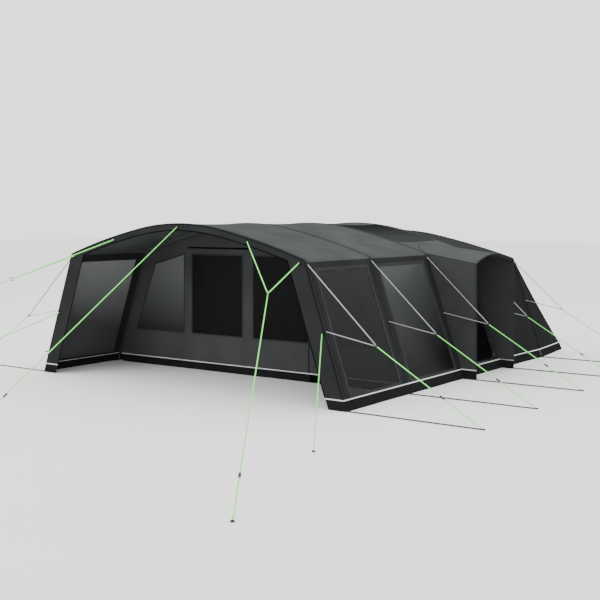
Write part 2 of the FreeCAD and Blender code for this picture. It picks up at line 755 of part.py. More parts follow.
class Bridle:
    """Two webbing legs through a ring, and the guy line from the ring to its peg."""

    def __init__(self, upper, lower, ring, peg):
        self.upper, self.lower, self.ring, self.peg = upper, lower, ring, peg
        self.pull = (peg - ring).normalize()
        self.across = (upper - ring).cross(lower - ring).normalize()

    def bar(self):
        """The middle of the ring's bar that the webbing goes round."""
        return self.ring - self.pull * ring_radius

    def corners(self):
        """The two corners of the webbing's route, outside the bar."""
        turn_radius = ring_bar + web_radius + seam
        to_upper = (self.upper - self.bar()).normalize()
        to_lower = (self.lower - self.bar()).normalize()
        outward = (to_upper + to_lower).normalize() * -1
        along = self.across.cross(outward).normalize()
        if along.dot(to_upper) < 0:
            along = along * -1
        turn = math.pi - to_upper.getAngle(to_lower)
        reach = turn_radius * math.tan(turn / 4)
        middle = self.bar() + outward * turn_radius
        return middle + along * reach, middle - along * reach, turn_radius

    def webbing(self):
        """The webbing's solid: two straight legs and the fold round the bar."""
        first, second, radius = self.corners()
        return cord([self.upper, first, second, self.lower], web_radius, radius)

    def ring_solid(self):
        """The ring, standing across the plane of the bridle."""
        return Part.makeTorus(ring_radius, ring_bar, self.ring, self.pull.cross(self.across))

    def line(self):
        """The guy line, from the ring's outer bar to the eyelet."""
        start = self.ring + self.pull * ring_radius
        flat = Vector(self.pull.x, self.pull.y, 0).normalize()
        return start, eyelet_end(self.peg, flat)


def cord(points, radius, turn_radius):
    """A tube of straight runs with an arc of one radius at each corner."""
    edges = []
    last = points[0]
    for before, corner, after in zip(points, points[1:], points[2:]):
        back = (before - corner).normalize()
        onward = (after - corner).normalize()
        turn = math.pi - back.getAngle(onward)
        tangent = turn_radius * math.tan(turn / 2)
        first = corner + back * tangent
        second = corner + onward * tangent
        to_centre = (back + onward).normalize()
        depth = turn_radius / math.cos(turn / 2) - turn_radius
        edges.append(Part.LineSegment(last, first).toShape())
        edges.append(Part.Arc(first, corner + to_centre * depth, second).toShape())
        last = second
    edges.append(Part.LineSegment(last, points[-1]).toShape())
    return swept(edges, radius)


# a cord starts half its radius above its patch, so that its tilted end stays in the patch
web_seat = patch_thick + 2 * seam + web_radius / 2
guy_seat = patch_thick + 2 * seam + guy_radius / 2


def side_bridle(hoop, side):
    """The bridle of one hoop on one side."""
    shoulder = hoop.point(hoop.bend_centre, hoop.bend + web_seat, hoop.wall_slope, side)
    lower = hoop.wall(-web_seat, size("low_patch_rise"), side)
    ring = Vector(side * size("side_ring"), hoop.y, size("side_ring_rise"))
    return Bridle(shoulder, lower, ring, Vector(side * size("side_peg"), hoop.y, 0))


def roof_height(x, inset):
    """The height of hoop 1's outer roof arc at x, inset from its outer face."""
    centre_x, centre_z = main_hoop.roof_centre
    return centre_z + math.sqrt((main_hoop.roof_radius - inset) ** 2 - (x - centre_x) ** 2)


def low_seat(side):
    """Where a low front line starts, on the front band's leg."""
    edge_point = main_hoop.wall(size("leg_seat_inset"), size("leg_seat_rise"), side)
    return Vector(edge_point.x, band_y - guy_seat, edge_point.z)


def front_bridle(side):
    """The bridle on one side of the front band, its peg out in front."""
    seat = band_y - web_seat
    high = size("high_seat_half")
    upper = Vector(side * high, seat, roof_height(high, size("band_top") / 2))
    lower = Vector(side * (size("shoulder_half") - size("low_seat_in")), seat,
                   size("shoulder_rise") - size("low_seat_drop"))
    ring = Vector(side * size("front_ring_half"), hoop_y[0] - size("front_ring_ahead"),
                  size("front_ring_rise"))
    peg = Vector(side * size("front_peg_half"), hoop_y[0] - size("front_peg_ahead"), 0)
    return Bridle(upper, lower, ring, peg)


side_bridles = {side: [side_bridle(hoop, side) for hoop in hoops] for side in (1, -1)}
front_bridles = [front_bridle(side) for side in (1, -1)]
centre_top = Vector(0, band_y - guy_seat, size("ridge_rise") - size("band_top") / 2)
centre_peg = Vector(0, hoop_y[0] - size("centre_peg_ahead"), 0)
low_tops = [low_seat(side) for side in (1, -1)]
low_pegs = [Vector(side * size("low_peg_half"), hoop_y[0] - size("low_peg_ahead"), 0)
            for side in (1, -1)]


def line_to_peg(top, peg):
    """The two ends of a line from a patch down to its eyelet."""
    flat = Vector(peg.x - top.x, peg.y - top.y, 0).normalize()
    return top, eyelet_end(peg, flat)


words = ((1, "right"), (-1, "left"))
for side, word in words:
    feature(f"side_bridles_{word}", [item.webbing() for item in side_bridles[side]])
    feature(f"side_lines_{word}", [rod(*item.line(), guy_radius) for item in side_bridles[side]])
feature("front_bridles", [item.webbing() for item in front_bridles])
plain_lines = [line_to_peg(centre_top, centre_peg)]
plain_lines += [line_to_peg(top, peg) for top, peg in zip(low_tops, low_pegs)]
tails = [item.line() for item in front_bridles]
feature("front_lines", [rod(*ends, guy_radius) for ends in tails + plain_lines])
all_bridles = side_bridles[1] + side_bridles[-1] + front_bridles
feature("bridle_rings", [item.ring_solid() for item in all_bridles])


def ground_strap(hoop, side):
    """A strap on the ground from a hoop's foot, beside the guy line, to the eyelet's rim."""
    beside = 2 * web_radius
    y = hoop.y - beside
    rim = math.sqrt(eyelet_radius ** 2 - (beside - web_radius) ** 2)
    start = Vector(side * (hoop.wall(0, 0).x + seam), y, web_radius)
    end = Vector(side * (size("side_peg") - rim - seam), y, web_radius)
    return rod(start, end, web_radius)


for side, word in words:
    feature(f"ground_straps_{word}", [ground_strap(hoop, side) for hoop in hoops])


def eyelet(peg):
    """A ring on the ground that a peg goes through."""
    body = Part.makeCylinder(eyelet_radius, eyelet_height, peg)
    return body.cut(Part.makeCylinder(size("eyelet_bore"), eyelet_height, peg))


pegs = [item.peg for item in all_bridles] + [centre_peg] + low_pegs
feature("peg_eyelets", [eyelet(peg) for peg in pegs])


# a patch's tip stands this share of its height above the cord's start
TIP_SHARE = 0.55


def patch(centre, up, out, above):
    """A sewn triangle with its point up, under a cord's start that is so far above the skin."""
    side = size("patch_side")
    wide = up.cross(out).normalize()
    base = centre - out * (above - seam)
    tip = base + up * side * TIP_SHARE
    low = base - up * side * (1 - TIP_SHARE)
    points = [tip, low + wide * side / 2, low - wide * side / 2]
    return prism(points, out * patch_thick)


def side_patches(hoop, item, side):
    """The two patches of one side bridle, the upper one just below the shoulder bend."""
    up = Vector(-side * hoop.down[0], 0, -hoop.down[1])
    out = Vector(-side * hoop.inward[0], 0, -hoop.inward[1])
    below_bend = size("patch_side") * TIP_SHARE
    return [patch(item.upper - up * below_bend, up, out, web_seat),
            patch(item.lower, up, out, web_seat)]


patches = []
for side in (1, -1):
    for hoop, item in zip(hoops, side_bridles[side]):
        patches += side_patches(hoop, item, side)
forward = Vector(0, -1, 0)
upward = Vector(0, 0, 1)
patches += [patch(seat, upward, forward, guy_seat) for seat in [centre_top] + low_tops]
for item in front_bridles:
    patches += [patch(seat, upward, forward, web_seat) for seat in (item.upper, item.lower)]
feature("guy_patches", patches)

# ---------------------------------------------------------------------------- runners


def runner(node, start, end):
    """A bored block that slides on a guy line."""
    body = doc.addObject("PartDesign::Body", f"{node}_body")
    plane = [item for item in body.Origin.OriginFeatures if item.Role == "XY_Plane"][0]
    sketch = body.newObject("Sketcher::SketchObject", f"{node}_section")
    sketch.AttachmentSupport = [(plane, "")]
    sketch.MapMode = "FlatFace"
    half_w, half_d = size("runner_width") / 2, size("runner_depth") / 2
    marks = [Vector(-half_w, -half_d, 0), Vector(half_w, -half_d, 0),
             Vector(half_w, half_d, 0), Vector(-half_w, half_d, 0)]
    for first, second in zip(marks, marks[1:] + marks[:1]):
        sketch.addGeometry(Part.LineSegment(first, second))
    bore = size("guy_radius") + size("runner_fit")
    sketch.addGeometry(Part.Circle(Vector(0, 0, 0), Vector(0, 0, 1), bore))
    rules = [Sketcher.Constraint("Coincident", i, 2, (i + 1) % 4, 1) for i in range(4)]
    rules += [Sketcher.Constraint("Horizontal", 0), Sketcher.Constraint("Horizontal", 2)]
    rules += [Sketcher.Constraint("Vertical", 1), Sketcher.Constraint("Vertical", 3)]
    rules += [Sketcher.Constraint("Symmetric", 0, 1, 1, 2, -1, 1)]
    rules += [Sketcher.Constraint("Coincident", 4, 3, -1, 1)]
    sketch.addConstraint(rules)
    bound = (
        (Sketcher.Constraint("DistanceX", 0, 1, 0, 2, 2 * half_w), "Sizes.runner_width"),
        (Sketcher.Constraint("DistanceY", 1, 1, 1, 2, 2 * half_d), "Sizes.runner_depth"),
        (Sketcher.Constraint("Radius", 4, bore), "Sizes.guy_radius + Sizes.runner_fit"),
    )
    for rule, expression in bound:
        index = sketch.addConstraint(rule)
        sketch.setExpression(f"Constraints[{index}]", expression)
    pad = body.newObject("PartDesign::Pad", f"{node}_pad")
    pad.Profile = sketch
    pad.setExpression("Length", "Sizes.runner_length")
    way = (start - end).normalize()
    at = end + way * size("runner_rest")
    body.Placement = Placement(at, Rotation(Vector(0, 0, 1), way))
    return keep(node, body)


for side, word in words:
    for number, item in enumerate(side_bridles[side], start=1):
        runner(f"runner_{word}_{number}", *item.line())
runner("runner_front_right", *tails[0])
runner("runner_front_left", *tails[1])
runner("runner_front_centre", *plain_lines[0])

# ---------------------------------------------------------------------------- zip sliders


def slider(node, at, up, out):
    """A zip slider with its pull, its back just clear of the door."""
    length, width, depth = size("slider_length"), size("slider_width"), size("slider_depth")
    wide = up.cross(out).normalize()
    turn = FreeCAD.Matrix(wide.x, up.x, out.x, 0, wide.y, up.y, out.y, 0, wide.z, up.z, out.z, 0,
                          0, 0, 0, 1)
    block = doc.addObject("Part::Box", f"{node}_block")
    block.setExpression("Length", "Sizes.slider_width")
    block.setExpression("Width", "Sizes.slider_length")
    block.setExpression("Height", "Sizes.slider_depth")
    block.Placement = Placement(Vector(-width / 2, 0, 0), Rotation())
    pull = doc.addObject("Part::Cylinder", f"{node}_pull")
    pull.setExpression("Radius", "Sizes.slider_width / 2")
    pull.setExpression("Height", "Sizes.slider_depth / 2")
    pull.Placement = Placement(Vector(0, -width / 4, depth / 4), Rotation())
    whole = doc.addObject("Part::Fuse", f"{node}_whole")
    whole.Base = block
    whole.Tool = pull
    whole.Placement = Placement(at + out * seam, Placement(turn).Rotation)
    return keep(node, whole)


door_edge = size("slider_edge")
outline = front_doorway(door_gap)
foot_corner = Vector(outline[1][0], wall_y0, outline[1][1])
head_corner = Vector(outline[2][0], wall_y0, outline[2][1])
edge_up = (head_corner - foot_corner).normalize()
inboard = Vector(-edge_up.z, 0, edge_up.x)
rest_up = size("slider_rest")
slider("front_door_slider", foot_corner + edge_up * rest_up + inboard * door_edge, edge_up,
       forward)
for side, word in words:
    wall_up = Vector(-side * main_hoop.down[0], 0, -main_hoop.down[1])
    wall_out = Vector(-side * main_hoop.inward[0], 0, -main_hoop.inward[1])
    seat = main_hoop.wall(0, size("side_door_sill") + rest_up, side)
    at = Vector(seat.x, side_door_end - door_gap - door_edge, seat.z)
    slider(f"side_door_slider_{word}", at, wall_up, wall_out)

# ---------------------------------------------------------------------------- write


def check_and_write():
    """Recompute, refuse a failed object or a bad shape, and write one file for each node."""
    doc.recompute()
    for item in doc.Objects:
        if "Invalid" in item.State or "Error" in item.State:
            raise RuntimeError(f"{item.Name} failed: {item.State}")
    os.makedirs("parts", exist_ok=True)
    for node, item in NODES.items():
        shape = item.Shape
        if shape.isNull() or not shape.isValid() or not shape.Solids:
            raise RuntimeError(f"{node} has no valid solid")
        if min(solid.Volume for solid in shape.Solids) <= 0:
            raise RuntimeError(f"{node} has a solid with no volume")
        shape.exportStep(f"parts/{node}.step")
        bounds = shape.optimalBoundingBox(True, False)
        print(f"{node}: {len(shape.Solids)} solids, {shape.Volume / 1e6:.2f} l, "
              f"x {bounds.XMin:.0f}..{bounds.XMax:.0f} y {bounds.YMin:.0f}..{bounds.YMax:.0f} "
              f"z {bounds.ZMin:.1f}..{bounds.ZMax:.0f}")


check_and_write()
print(len(NODES), "nodes")
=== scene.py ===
"""Looks of a five-hoop tunnel tent: cloth bays, film windows, doors, porches and guy lines.

Frame: +X to the right of someone looking in at the open front, +Y to the back, +Z up.
Lengths are in metres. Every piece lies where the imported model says.
"""
import json
import logging
import math
import random
from collections.abc import Callable, Sequence
from dataclasses import dataclass, field
from enum import Enum

import bmesh
import bpy
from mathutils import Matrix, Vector
from mathutils.geometry import tessellate_polygon


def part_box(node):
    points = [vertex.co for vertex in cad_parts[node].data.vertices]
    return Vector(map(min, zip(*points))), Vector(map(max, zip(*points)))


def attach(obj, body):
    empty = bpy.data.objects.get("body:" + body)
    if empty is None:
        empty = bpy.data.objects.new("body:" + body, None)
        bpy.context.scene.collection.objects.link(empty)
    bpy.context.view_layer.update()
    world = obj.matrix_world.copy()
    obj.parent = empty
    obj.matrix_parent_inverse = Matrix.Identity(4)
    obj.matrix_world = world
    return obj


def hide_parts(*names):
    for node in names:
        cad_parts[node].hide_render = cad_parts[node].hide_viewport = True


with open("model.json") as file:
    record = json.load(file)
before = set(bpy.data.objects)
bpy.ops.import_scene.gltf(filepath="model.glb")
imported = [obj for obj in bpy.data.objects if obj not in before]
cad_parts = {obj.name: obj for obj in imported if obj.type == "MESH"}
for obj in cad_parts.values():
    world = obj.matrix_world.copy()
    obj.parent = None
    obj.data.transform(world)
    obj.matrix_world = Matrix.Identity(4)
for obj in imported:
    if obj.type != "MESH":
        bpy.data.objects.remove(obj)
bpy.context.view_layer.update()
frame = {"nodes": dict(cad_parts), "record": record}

LOG = logging.getLogger("tent")
MADE: dict[str, bpy.types.Material] = {}

Point2 = tuple[float, float]


# ------------------------------------------------------------------------------ finishes


class Graph:
    """A material's node tree with short calls to add nodes."""

    def __init__(self, name: str) -> None:
        """Make the material and find its shader.

        Args:
            name: the material's name.
        """
        if name in bpy.data.materials:
            raise ValueError(f"the packed model already has a material {name}")
        self.material = bpy.data.materials.new(name)
        MADE[name] = self.material
        self.material.use_nodes = True
        self.nodes = self.material.node_tree.nodes
        self.shader = self.nodes["Principled BSDF"]
        self.place = self.add("ShaderNodeTexCoord").outputs["Object"]

    def add(self, kind: str, **values: object) -> bpy.types.Node:
        """Add a node and set its attributes.

        Args:
            kind: the node's type.
            values: attributes, or inputs by name with spaces written as underscores.

        Returns:
            The new node.
        """
        node = self.nodes.new(kind)
        for key, value in values.items():
            if hasattr(node, key):
                setattr(node, key, value)
            else:
                node.inputs[key.replace("_", " ")].default_value = value
        return node

    def join(self, source: bpy.types.NodeSocket, target: bpy.types.NodeSocket) -> None:
        """Link two sockets."""
        self.material.node_tree.links.new(source, target)

    def noise(self, scale: float, detail: float = 2.0) -> bpy.types.NodeSocket:
        """A noise over the piece's own place."""
        node = self.add("ShaderNodeTexNoise", Scale=scale, Detail=detail)
        self.join(self.place, node.inputs["Vector"])
        return node.outputs["Fac"]

    def blend(self, factor: bpy.types.NodeSocket, low: Sequence[float],
              high: Sequence[float], ends: Point2 = (0.0, 1.0)) -> bpy.types.NodeSocket:
        """A colour ramp between two colours.

        Args:
            factor: what drives the ramp.
            low: colour at the first end.
            high: colour at the second end.
            ends: the two places on the ramp.

        Returns:
            The colour socket.
        """
        node = self.add("ShaderNodeValToRGB")
        self.join(factor, node.inputs["Fac"])
        for element, place, colour in zip(node.color_ramp.elements, ends, (low, high)):
            element.position = place
            element.color = (*colour, 1.0)
        return node.outputs["Color"]

    def weave(self, pitch: float) -> bpy.types.NodeSocket:
        """Two crossed bands, as threads over and under each other.

        Args:
            pitch: distance between threads.

        Returns:
            The height socket.
        """
        height = None
        for direction in ("Y", "DIAGONAL"):
            band = self.add("ShaderNodeTexWave", bands_direction=direction,
                            Scale=0.314 / pitch, Distortion=0.4)
            self.join(self.place, band.inputs["Vector"])
            if height is None:
                height = band.outputs["Fac"]
                continue
            both = self.add("ShaderNodeMath", operation="MULTIPLY")
            self.join(height, both.inputs[0])
            self.join(band.outputs["Fac"], both.inputs[1])
            height = both.outputs["Value"]
        return height

    def bump(self, height: bpy.types.NodeSocket, distance: float, strength: float,
             under: bpy.types.NodeSocket | None = None) -> bpy.types.NodeSocket:
        """Add a bump.

        Args:
            height: what the bump follows.
            distance: its depth in metres.
            strength: its strength.
            under: the normal of a bump below it.

        Returns:
            The normal socket.
        """
        node = self.add("ShaderNodeBump", Distance=distance, Strength=strength)
        self.join(height, node.inputs["Height"])
        if under is not None:
            self.join(under, node.inputs["Normal"])
        return node.outputs["Normal"]


@dataclass(frozen=True)
class Cloth:
    """Woven cloth: two close tones, a crossed weave and slow creases.

    A cloth that runs from the roof down a wall can take a darker tone below a height, as painted
    shade.
    """

    name: str
    tone: Sequence[float]
    pitch: float = 0.004
    roughness: float = 0.7
    sheen: float = 0.0
    gloss: float = 0.0
    spread: float = 0.12
    crease: float = 0.004
    # darker tone below the level: painted shade
    below: Sequence[float] | None = None
    level: float = 1.70
    fade: float = 0.03

    def material(self) -> bpy.types.Material:
        """Build the material, once."""
        if self.name in MADE:
            return MADE[self.name]
        graph = Graph(self.name)
        low = [value * (1 - self.spread) for value in self.tone]
        high = [value * (1 + self.spread) for value in self.tone]
        colour = graph.blend(graph.noise(2.2, 3.0), low, high, (0.3, 0.7))
        if self.below is not None:
            colour = self.add_painted_shade(graph, colour)
        graph.join(colour, graph.shader.inputs["Base Color"])
        creases = graph.bump(graph.noise(5.0, 4.0), self.crease, 0.35)
        threads = graph.bump(graph.weave(self.pitch), self.pitch / 8, 0.25, creases)
        graph.join(threads, graph.shader.inputs["Normal"])
        graph.shader.inputs["Roughness"].default_value = self.roughness
        graph.shader.inputs["Sheen Weight"].default_value = self.sheen
        graph.shader.inputs["Specular IOR Level"].default_value = self.gloss
        return graph.material

    def add_painted_shade(self, graph: Graph, colour: bpy.types.NodeSocket) -> bpy.types.NodeSocket:
        """Change to the darker tone below the level, as painted shade.

        Args:
            graph: the material's tree.
            colour: the upper colour.

        Returns:
            The colour with its step.
        """
        split = graph.add("ShaderNodeSeparateXYZ")
        graph.join(graph.place, split.inputs["Vector"])
        span = graph.add("ShaderNodeMapRange", From_Min=self.level - self.fade,
                         From_Max=self.level + self.fade)
        graph.join(split.outputs["Z"], span.inputs["Value"])
        mix = graph.add("ShaderNodeMix", data_type="RGBA")
        low, high = [item for item in mix.inputs if item.type == "RGBA"]
        low.default_value = (*self.below, 1.0)
        graph.join(colour, high)
        graph.join(span.outputs["Result"], mix.inputs["Factor"])
        return [item for item in mix.outputs if item.type == "RGBA"][0]


@dataclass(frozen=True)
class Film:
    """Tinted window film with slow ripples; a painted reflection, mostly paler towards its head."""

    name: str
    head: Sequence[float]
    sill: Sequence[float]
    low: float
    high: float
    lean: float = 0.0
    alpha: float = 0.96
    roughness: float = 0.28
    gloss: float = 0.03

    def material(self) -> bpy.types.Material:
        """Build the material, once; the painted reflection runs with height and leans along Y."""
        if self.name in MADE:
            return MADE[self.name]
        graph = Graph(self.name)
        split = graph.add("ShaderNodeSeparateXYZ")
        graph.join(graph.place, split.inputs["Vector"])
        slope = graph.add("ShaderNodeMath", operation="MULTIPLY_ADD")
        graph.join(split.outputs["Y"], slope.inputs[0])
        slope.inputs[1].default_value = self.lean
        graph.join(split.outputs["Z"], slope.inputs[2])
        span = graph.add("ShaderNodeMapRange", From_Min=self.low, From_Max=self.high)
        graph.join(slope.outputs["Value"], span.inputs["Value"])
        tint_and_reflection = graph.blend(span.outputs["Result"], self.sill, self.head)
        graph.join(tint_and_reflection, graph.shader.inputs["Base Color"])
        ripples = graph.bump(graph.noise(3.0, 1.0), 0.01, 0.25)
        graph.join(ripples, graph.shader.inputs["Normal"])
        graph.shader.inputs["Roughness"].default_value = self.roughness
        graph.shader.inputs["Specular IOR Level"].default_value = self.gloss
        graph.shader.inputs["Alpha"].default_value = self.alpha
        graph.material.surface_render_method = "DITHERED"
        return graph.material


@dataclass(frozen=True)
class Hard:
    """Moulded plastic or coated metal, with a fine grain and faint handling marks."""

    name: str
    tone: Sequence[float]
    roughness: float = 0.45
    metallic: float = 0.0
    grain: float = 0.0004

    def material(self) -> bpy.types.Material:
        """Build the material, once."""
        if self.name in MADE:
            return MADE[self.name]
        graph = Graph(self.name)
        low = [value * 0.8 for value in self.tone]
        high = [value * 1.25 for value in self.tone]
        graph.join(graph.blend(graph.noise(35.0), low, high, (0.35, 0.65)),
                   graph.shader.inputs["Base Color"])
        graph.join(graph.bump(graph.noise(900.0), self.grain, 0.3),
                   graph.shader.inputs["Normal"])
        graph.shader.inputs["Roughness"].default_value = self.roughness
        graph.shader.inputs["Metallic"].default_value = self.metallic
        return graph.material


@dataclass(frozen=True)
class Braid:
    """Braided or woven line: small scales of two tones."""

    name: str
    tone: Sequence[float]
    cell: float = 0.004

    def material(self) -> bpy.types.Material:
        """Build the material, once."""
        if self.name in MADE:
            return MADE[self.name]
        graph = Graph(self.name)
        scales = graph.add("ShaderNodeTexVoronoi", Scale=1.0 / self.cell)
        graph.join(graph.place, scales.inputs["Vector"])
        dark = [value * 0.85 for value in self.tone]
        graph.join(graph.blend(scales.outputs["Distance"], self.tone, dark, (0.2, 0.9)),
                   graph.shader.inputs["Base Color"])
        graph.join(graph.bump(scales.outputs["Distance"], self.cell / 4, 0.5),
                   graph.shader.inputs["Normal"])
        graph.shader.inputs["Roughness"].default_value = 0.6
        graph.shader.inputs["Sheen Weight"].default_value = 0.2
        return graph.material


# roof_cloth and wall_cloth are one fabric: the roof's paler tone is painted top light, the walls'
# darker tone painted shade
ROOF = Cloth("roof_cloth", (0.060, 0.064, 0.065))
WALL = Cloth("wall_cloth", (0.0215, 0.0225, 0.023))
PORCH = Cloth("porch_cloth", (0.041, 0.0427, 0.0435))
INNER_WALL = Cloth("front_wall_cloth", (0.050, 0.051, 0.052))
REAR = Cloth("rear_cloth", (0.0165, 0.0172, 0.0178))
REAR_ROOF = Cloth("rear_roof_cloth", (0.030, 0.0315, 0.032))
# sleeves: painted top light above 1.70 m, the walls' painted shade below it
SLEEVE = Cloth("sleeve_cloth", (0.056, 0.060, 0.061), below=(0.026, 0.027, 0.0275))
HEM = Cloth("hem_cloth", (0.030, 0.031, 0.032), pitch=0.003, crease=0.001)
SEAM_TAPE = Cloth("seam_tape", (0.004, 0.004, 0.0045), pitch=0.002, crease=0.0005)
PATCH = Cloth("patch_cloth", (0.004, 0.004, 0.0045), pitch=0.003, crease=0.001)
FLAP = Cloth("flap_coating", (0.0130, 0.0137, 0.0142), crease=0.006)
SHEET = Cloth("floor_coating", (0.05, 0.052, 0.054))
PIPING = Cloth("piping", (0.62, 0.63, 0.63), pitch=0.002, crease=0.0005)
THREAD = Hard("thread", (0.05, 0.052, 0.055), 0.7)
MESH_CLOTH = Cloth("vent_mesh", (0.003, 0.003, 0.0035), pitch=0.003, roughness=0.8)
# each film's colour runs from sill to head as a painted reflection
FILM_CLEAR = Film("canopy_film_right", (0.022, 0.023, 0.024), (0.010, 0.011, 0.011), 0.16, 1.6,
                  alpha=0.72)
# left canopy window: its pale head, leaning towards the back, is a painted sheen
FILM_LEFT_PAINTED_SHEEN = Film("canopy_film_left_painted_sheen", (0.33, 0.34, 0.345), (0.05, 0.052, 0.053), 0.0, 1.5,
                 lean=0.25)
FILM_LIVING = Film("living_film", (0.050, 0.053, 0.054), (0.007, 0.0072, 0.0075), 0.45, 1.75,
                   lean=-0.12)
FILM_FRONT = Film("front_film", (0.012, 0.0125, 0.0125), (0.008, 0.008, 0.008), 0.5, 1.7,
                  alpha=0.92, roughness=0.35, gloss=0.02)
FILM_CORNER = Film("front_corner_film", (0.14, 0.145, 0.148), (0.020, 0.021, 0.0215), 0.5, 1.7)
# roof windows: darker at the apex and paler lower down, a painted reflection
FILM_ROOF = Film("roof_window_tint", (0.010, 0.0105, 0.011), (0.034, 0.036, 0.037), 1.93, 2.12,
                 gloss=0.0)
POLE = Hard("pole_coat", (0.10, 0.105, 0.11), 0.4, 0.7)
ELBOW = Hard("elbow_coat", (0.06, 0.062, 0.065), 0.4, 0.6)
BLACK = Hard("black_moulding", (0.012, 0.012, 0.013))
ZIP = Hard("zip_coil", (0.35, 0.35, 0.36), 0.3, 0.9)
GUY = Braid("green_guy", (0.17, 0.96, 0.12))
GREY_WEB = Braid("grey_tape", (0.30, 0.31, 0.32), 0.003)
BLACK_WEB = Braid("black_cord", (0.003, 0.003, 0.003), 0.003)


# ------------------------------------------------------------------------------ making


def evaluated(piece: bpy.types.Object) -> None:
    """Give a piece its shape with every modifier applied, and drop the modifiers."""
    graph = bpy.context.evaluated_depsgraph_get()
    made = bpy.data.meshes.new_from_object(piece.evaluated_get(graph))
    old = piece.data
    piece.modifiers.clear()
    piece.data = made
    bpy.data.meshes.remove(old)


class Shell:
    """Points and faces of a piece while it is being made."""

    def __init__(self) -> None:
        """Start with nothing."""
        self.points: list[Vector] = []
        self.faces: list[tuple[int, ...]] = []

    def extend(self, points: Sequence[Vector], faces: Sequence[Sequence[int]]) -> "Shell":
        """Add points and faces that count from their own first point."""
        start = len(self.points)
        self.points += [Vector(point) for point in points]
        self.faces += [tuple(start + index for index in face) for face in faces]
        return self

    def merge(self, other: "Shell") -> "Shell":
        """Add another shell."""
        return self.extend(other.points, other.faces)

    def grid(self, rows: Sequence[Sequence[Vector]],
             skip: Callable[[int, int], bool] | None = None) -> "Shell":
        """Add a net of quads between rows of equal length.

        Args:
            rows: the rows of points.
            skip: says which cells stay open, by row and column.

        Returns:
            This shell.
        """
        wide = len(rows[0])
        faces = []
        for i in range(len(rows) - 1):
            for j in range(wide - 1):
                if skip is None or not skip(i, j):
                    low = i * wide + j
                    faces.append((low, low + 1, low + wide + 1, low + wide))
        return self.extend([point for row in rows for point in row], faces)

    def rings(self, rings: Sequence[Sequence[Vector]], caps: bool = True,
              around: bool = False) -> "Shell":
        """Bridge closed rings of equal length.

        Args:
            rings: the rings in order.
            caps: close the first and the last ring.
            around: join the last ring to the first.

        Returns:
            This shell.
        """
        wide = len(rings[0])
        count = len(rings)
        faces = []
        for i in range(count if around else count - 1):
            for j in range(wide):
                a, b = i * wide, (i + 1) % count * wide
                faces.append((a + j, a + (j + 1) % wide, b + (j + 1) % wide, b + j))
        if caps and not around:
            faces.append(tuple(reversed(range(wide))))
            faces.append(tuple(range((count - 1) * wide, count * wide)))
        return self.extend([point for ring in rings for point in ring], faces)

    def sweep(self, path: Sequence[Vector], sides: Sequence[Vector], ups: Sequence[Vector],
              profile: Sequence[Point2]) -> "Shell":
        """Carry a closed profile along a path.

        Args:
            path: the path's points.
            sides: direction of the profile's first axis at each point.
            ups: direction of its second axis at each point.
            profile: the profile's points.

        Returns:
            This shell.
        """
        return self.rings([[point + side * a + up * b for a, b in profile]
                           for point, side, up in zip(path, sides, ups)])

    def mirrored(self) -> "Shell":
        """The same shell on the tent's left side."""
        other = Shell()
        other.points = [Vector((-point.x, point.y, point.z)) for point in self.points]
        other.faces = [tuple(reversed(face)) for face in self.faces]
        return other

    def build(self, name: str, finish: Cloth | Film | Hard | Braid, thickness: float = 0.0,
              inside: Vector | None = None, crease: float = 32.0) -> bpy.types.Object:
        """Turn the shell into an object.

        Args:
            name: the object's name.
            finish: its finish.
            thickness: of a sheet, taken towards the inside; 0 for a closed shell.
            inside: a point that the sheet faces away from; its y is taken from each face
                where it is None.
            crease: angle in degrees above which an edge is sharp.

        Returns:
            The object.
        """
        mesh = bpy.data.meshes.new(name)
        mesh.from_pydata([tuple(point) for point in self.points], [], self.faces)
        work = bmesh.new()
        work.from_mesh(mesh)
        bmesh.ops.remove_doubles(work, verts=work.verts, dist=1e-5)
        bmesh.ops.dissolve_degenerate(work, edges=work.edges, dist=1e-5)
        if thickness:
            for face in work.faces:
                centre = face.calc_center_median()
                middle = inside or Vector((0.0, centre.y, 0.6))
                if face.normal.dot(centre - middle) < 0:
                    face.normal_flip()
        else:
            bmesh.ops.recalc_face_normals(work, faces=work.faces)
        work.to_mesh(mesh)
        work.free()
        piece = bpy.data.objects.new(name, mesh)
        bpy.context.scene.collection.objects.link(piece)
        if thickness:
            solid = piece.modifiers.new("thickness", "SOLIDIFY")
            solid.thickness = thickness
            solid.offset = -1.0
            evaluated(piece)
        piece.data.materials.clear()
        piece.data.materials.append(finish.material())
        piece.data.shade_smooth()
        piece.data.set_sharp_from_angle(angle=math.radians(crease))
        return piece


def settle(piece: bpy.types.Object, body: str, nodes: Sequence[str]) -> bpy.types.Object:
    """Tell the frame what a piece rides on and stands for.

    Args:
        piece: the piece.
        body: the body it moves with.
        nodes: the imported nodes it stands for.

    Returns:
        The piece.
    """
    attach(piece, body)
    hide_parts(*nodes)
    LOG.info("%s on %s", piece.name, body)
    return piece


def grown(outline: Sequence[Point2], distance: float) -> list[Point2]:
    """A closed outline moved outward by a distance, its corners mitred.

    Args:
        outline: the corners, either way round.
        distance: how far; negative moves it inward.

    Returns:
        The new corners.
    """
    points = [Vector(point) for point in outline]
    turn = sum(a.x * b.y - b.x * a.y for a, b in zip(points, points[1:] + points[:1]))
    sign = 1.0 if turn > 0 else -1.0
    result = []
    for before, here, after in zip(points[-1:] + points[:-1], points, points[1:] + points[:1]):
        first = (here - before).normalized()
        second = (after - here).normalized()
        one = Vector((first.y, -first.x)) * sign
        two = Vector((second.y, -second.x)) * sign
        middle = (one + two).normalized()
        reach = distance / max(0.3, middle.dot(one))
        result.append(tuple(here + middle * reach))
    return result


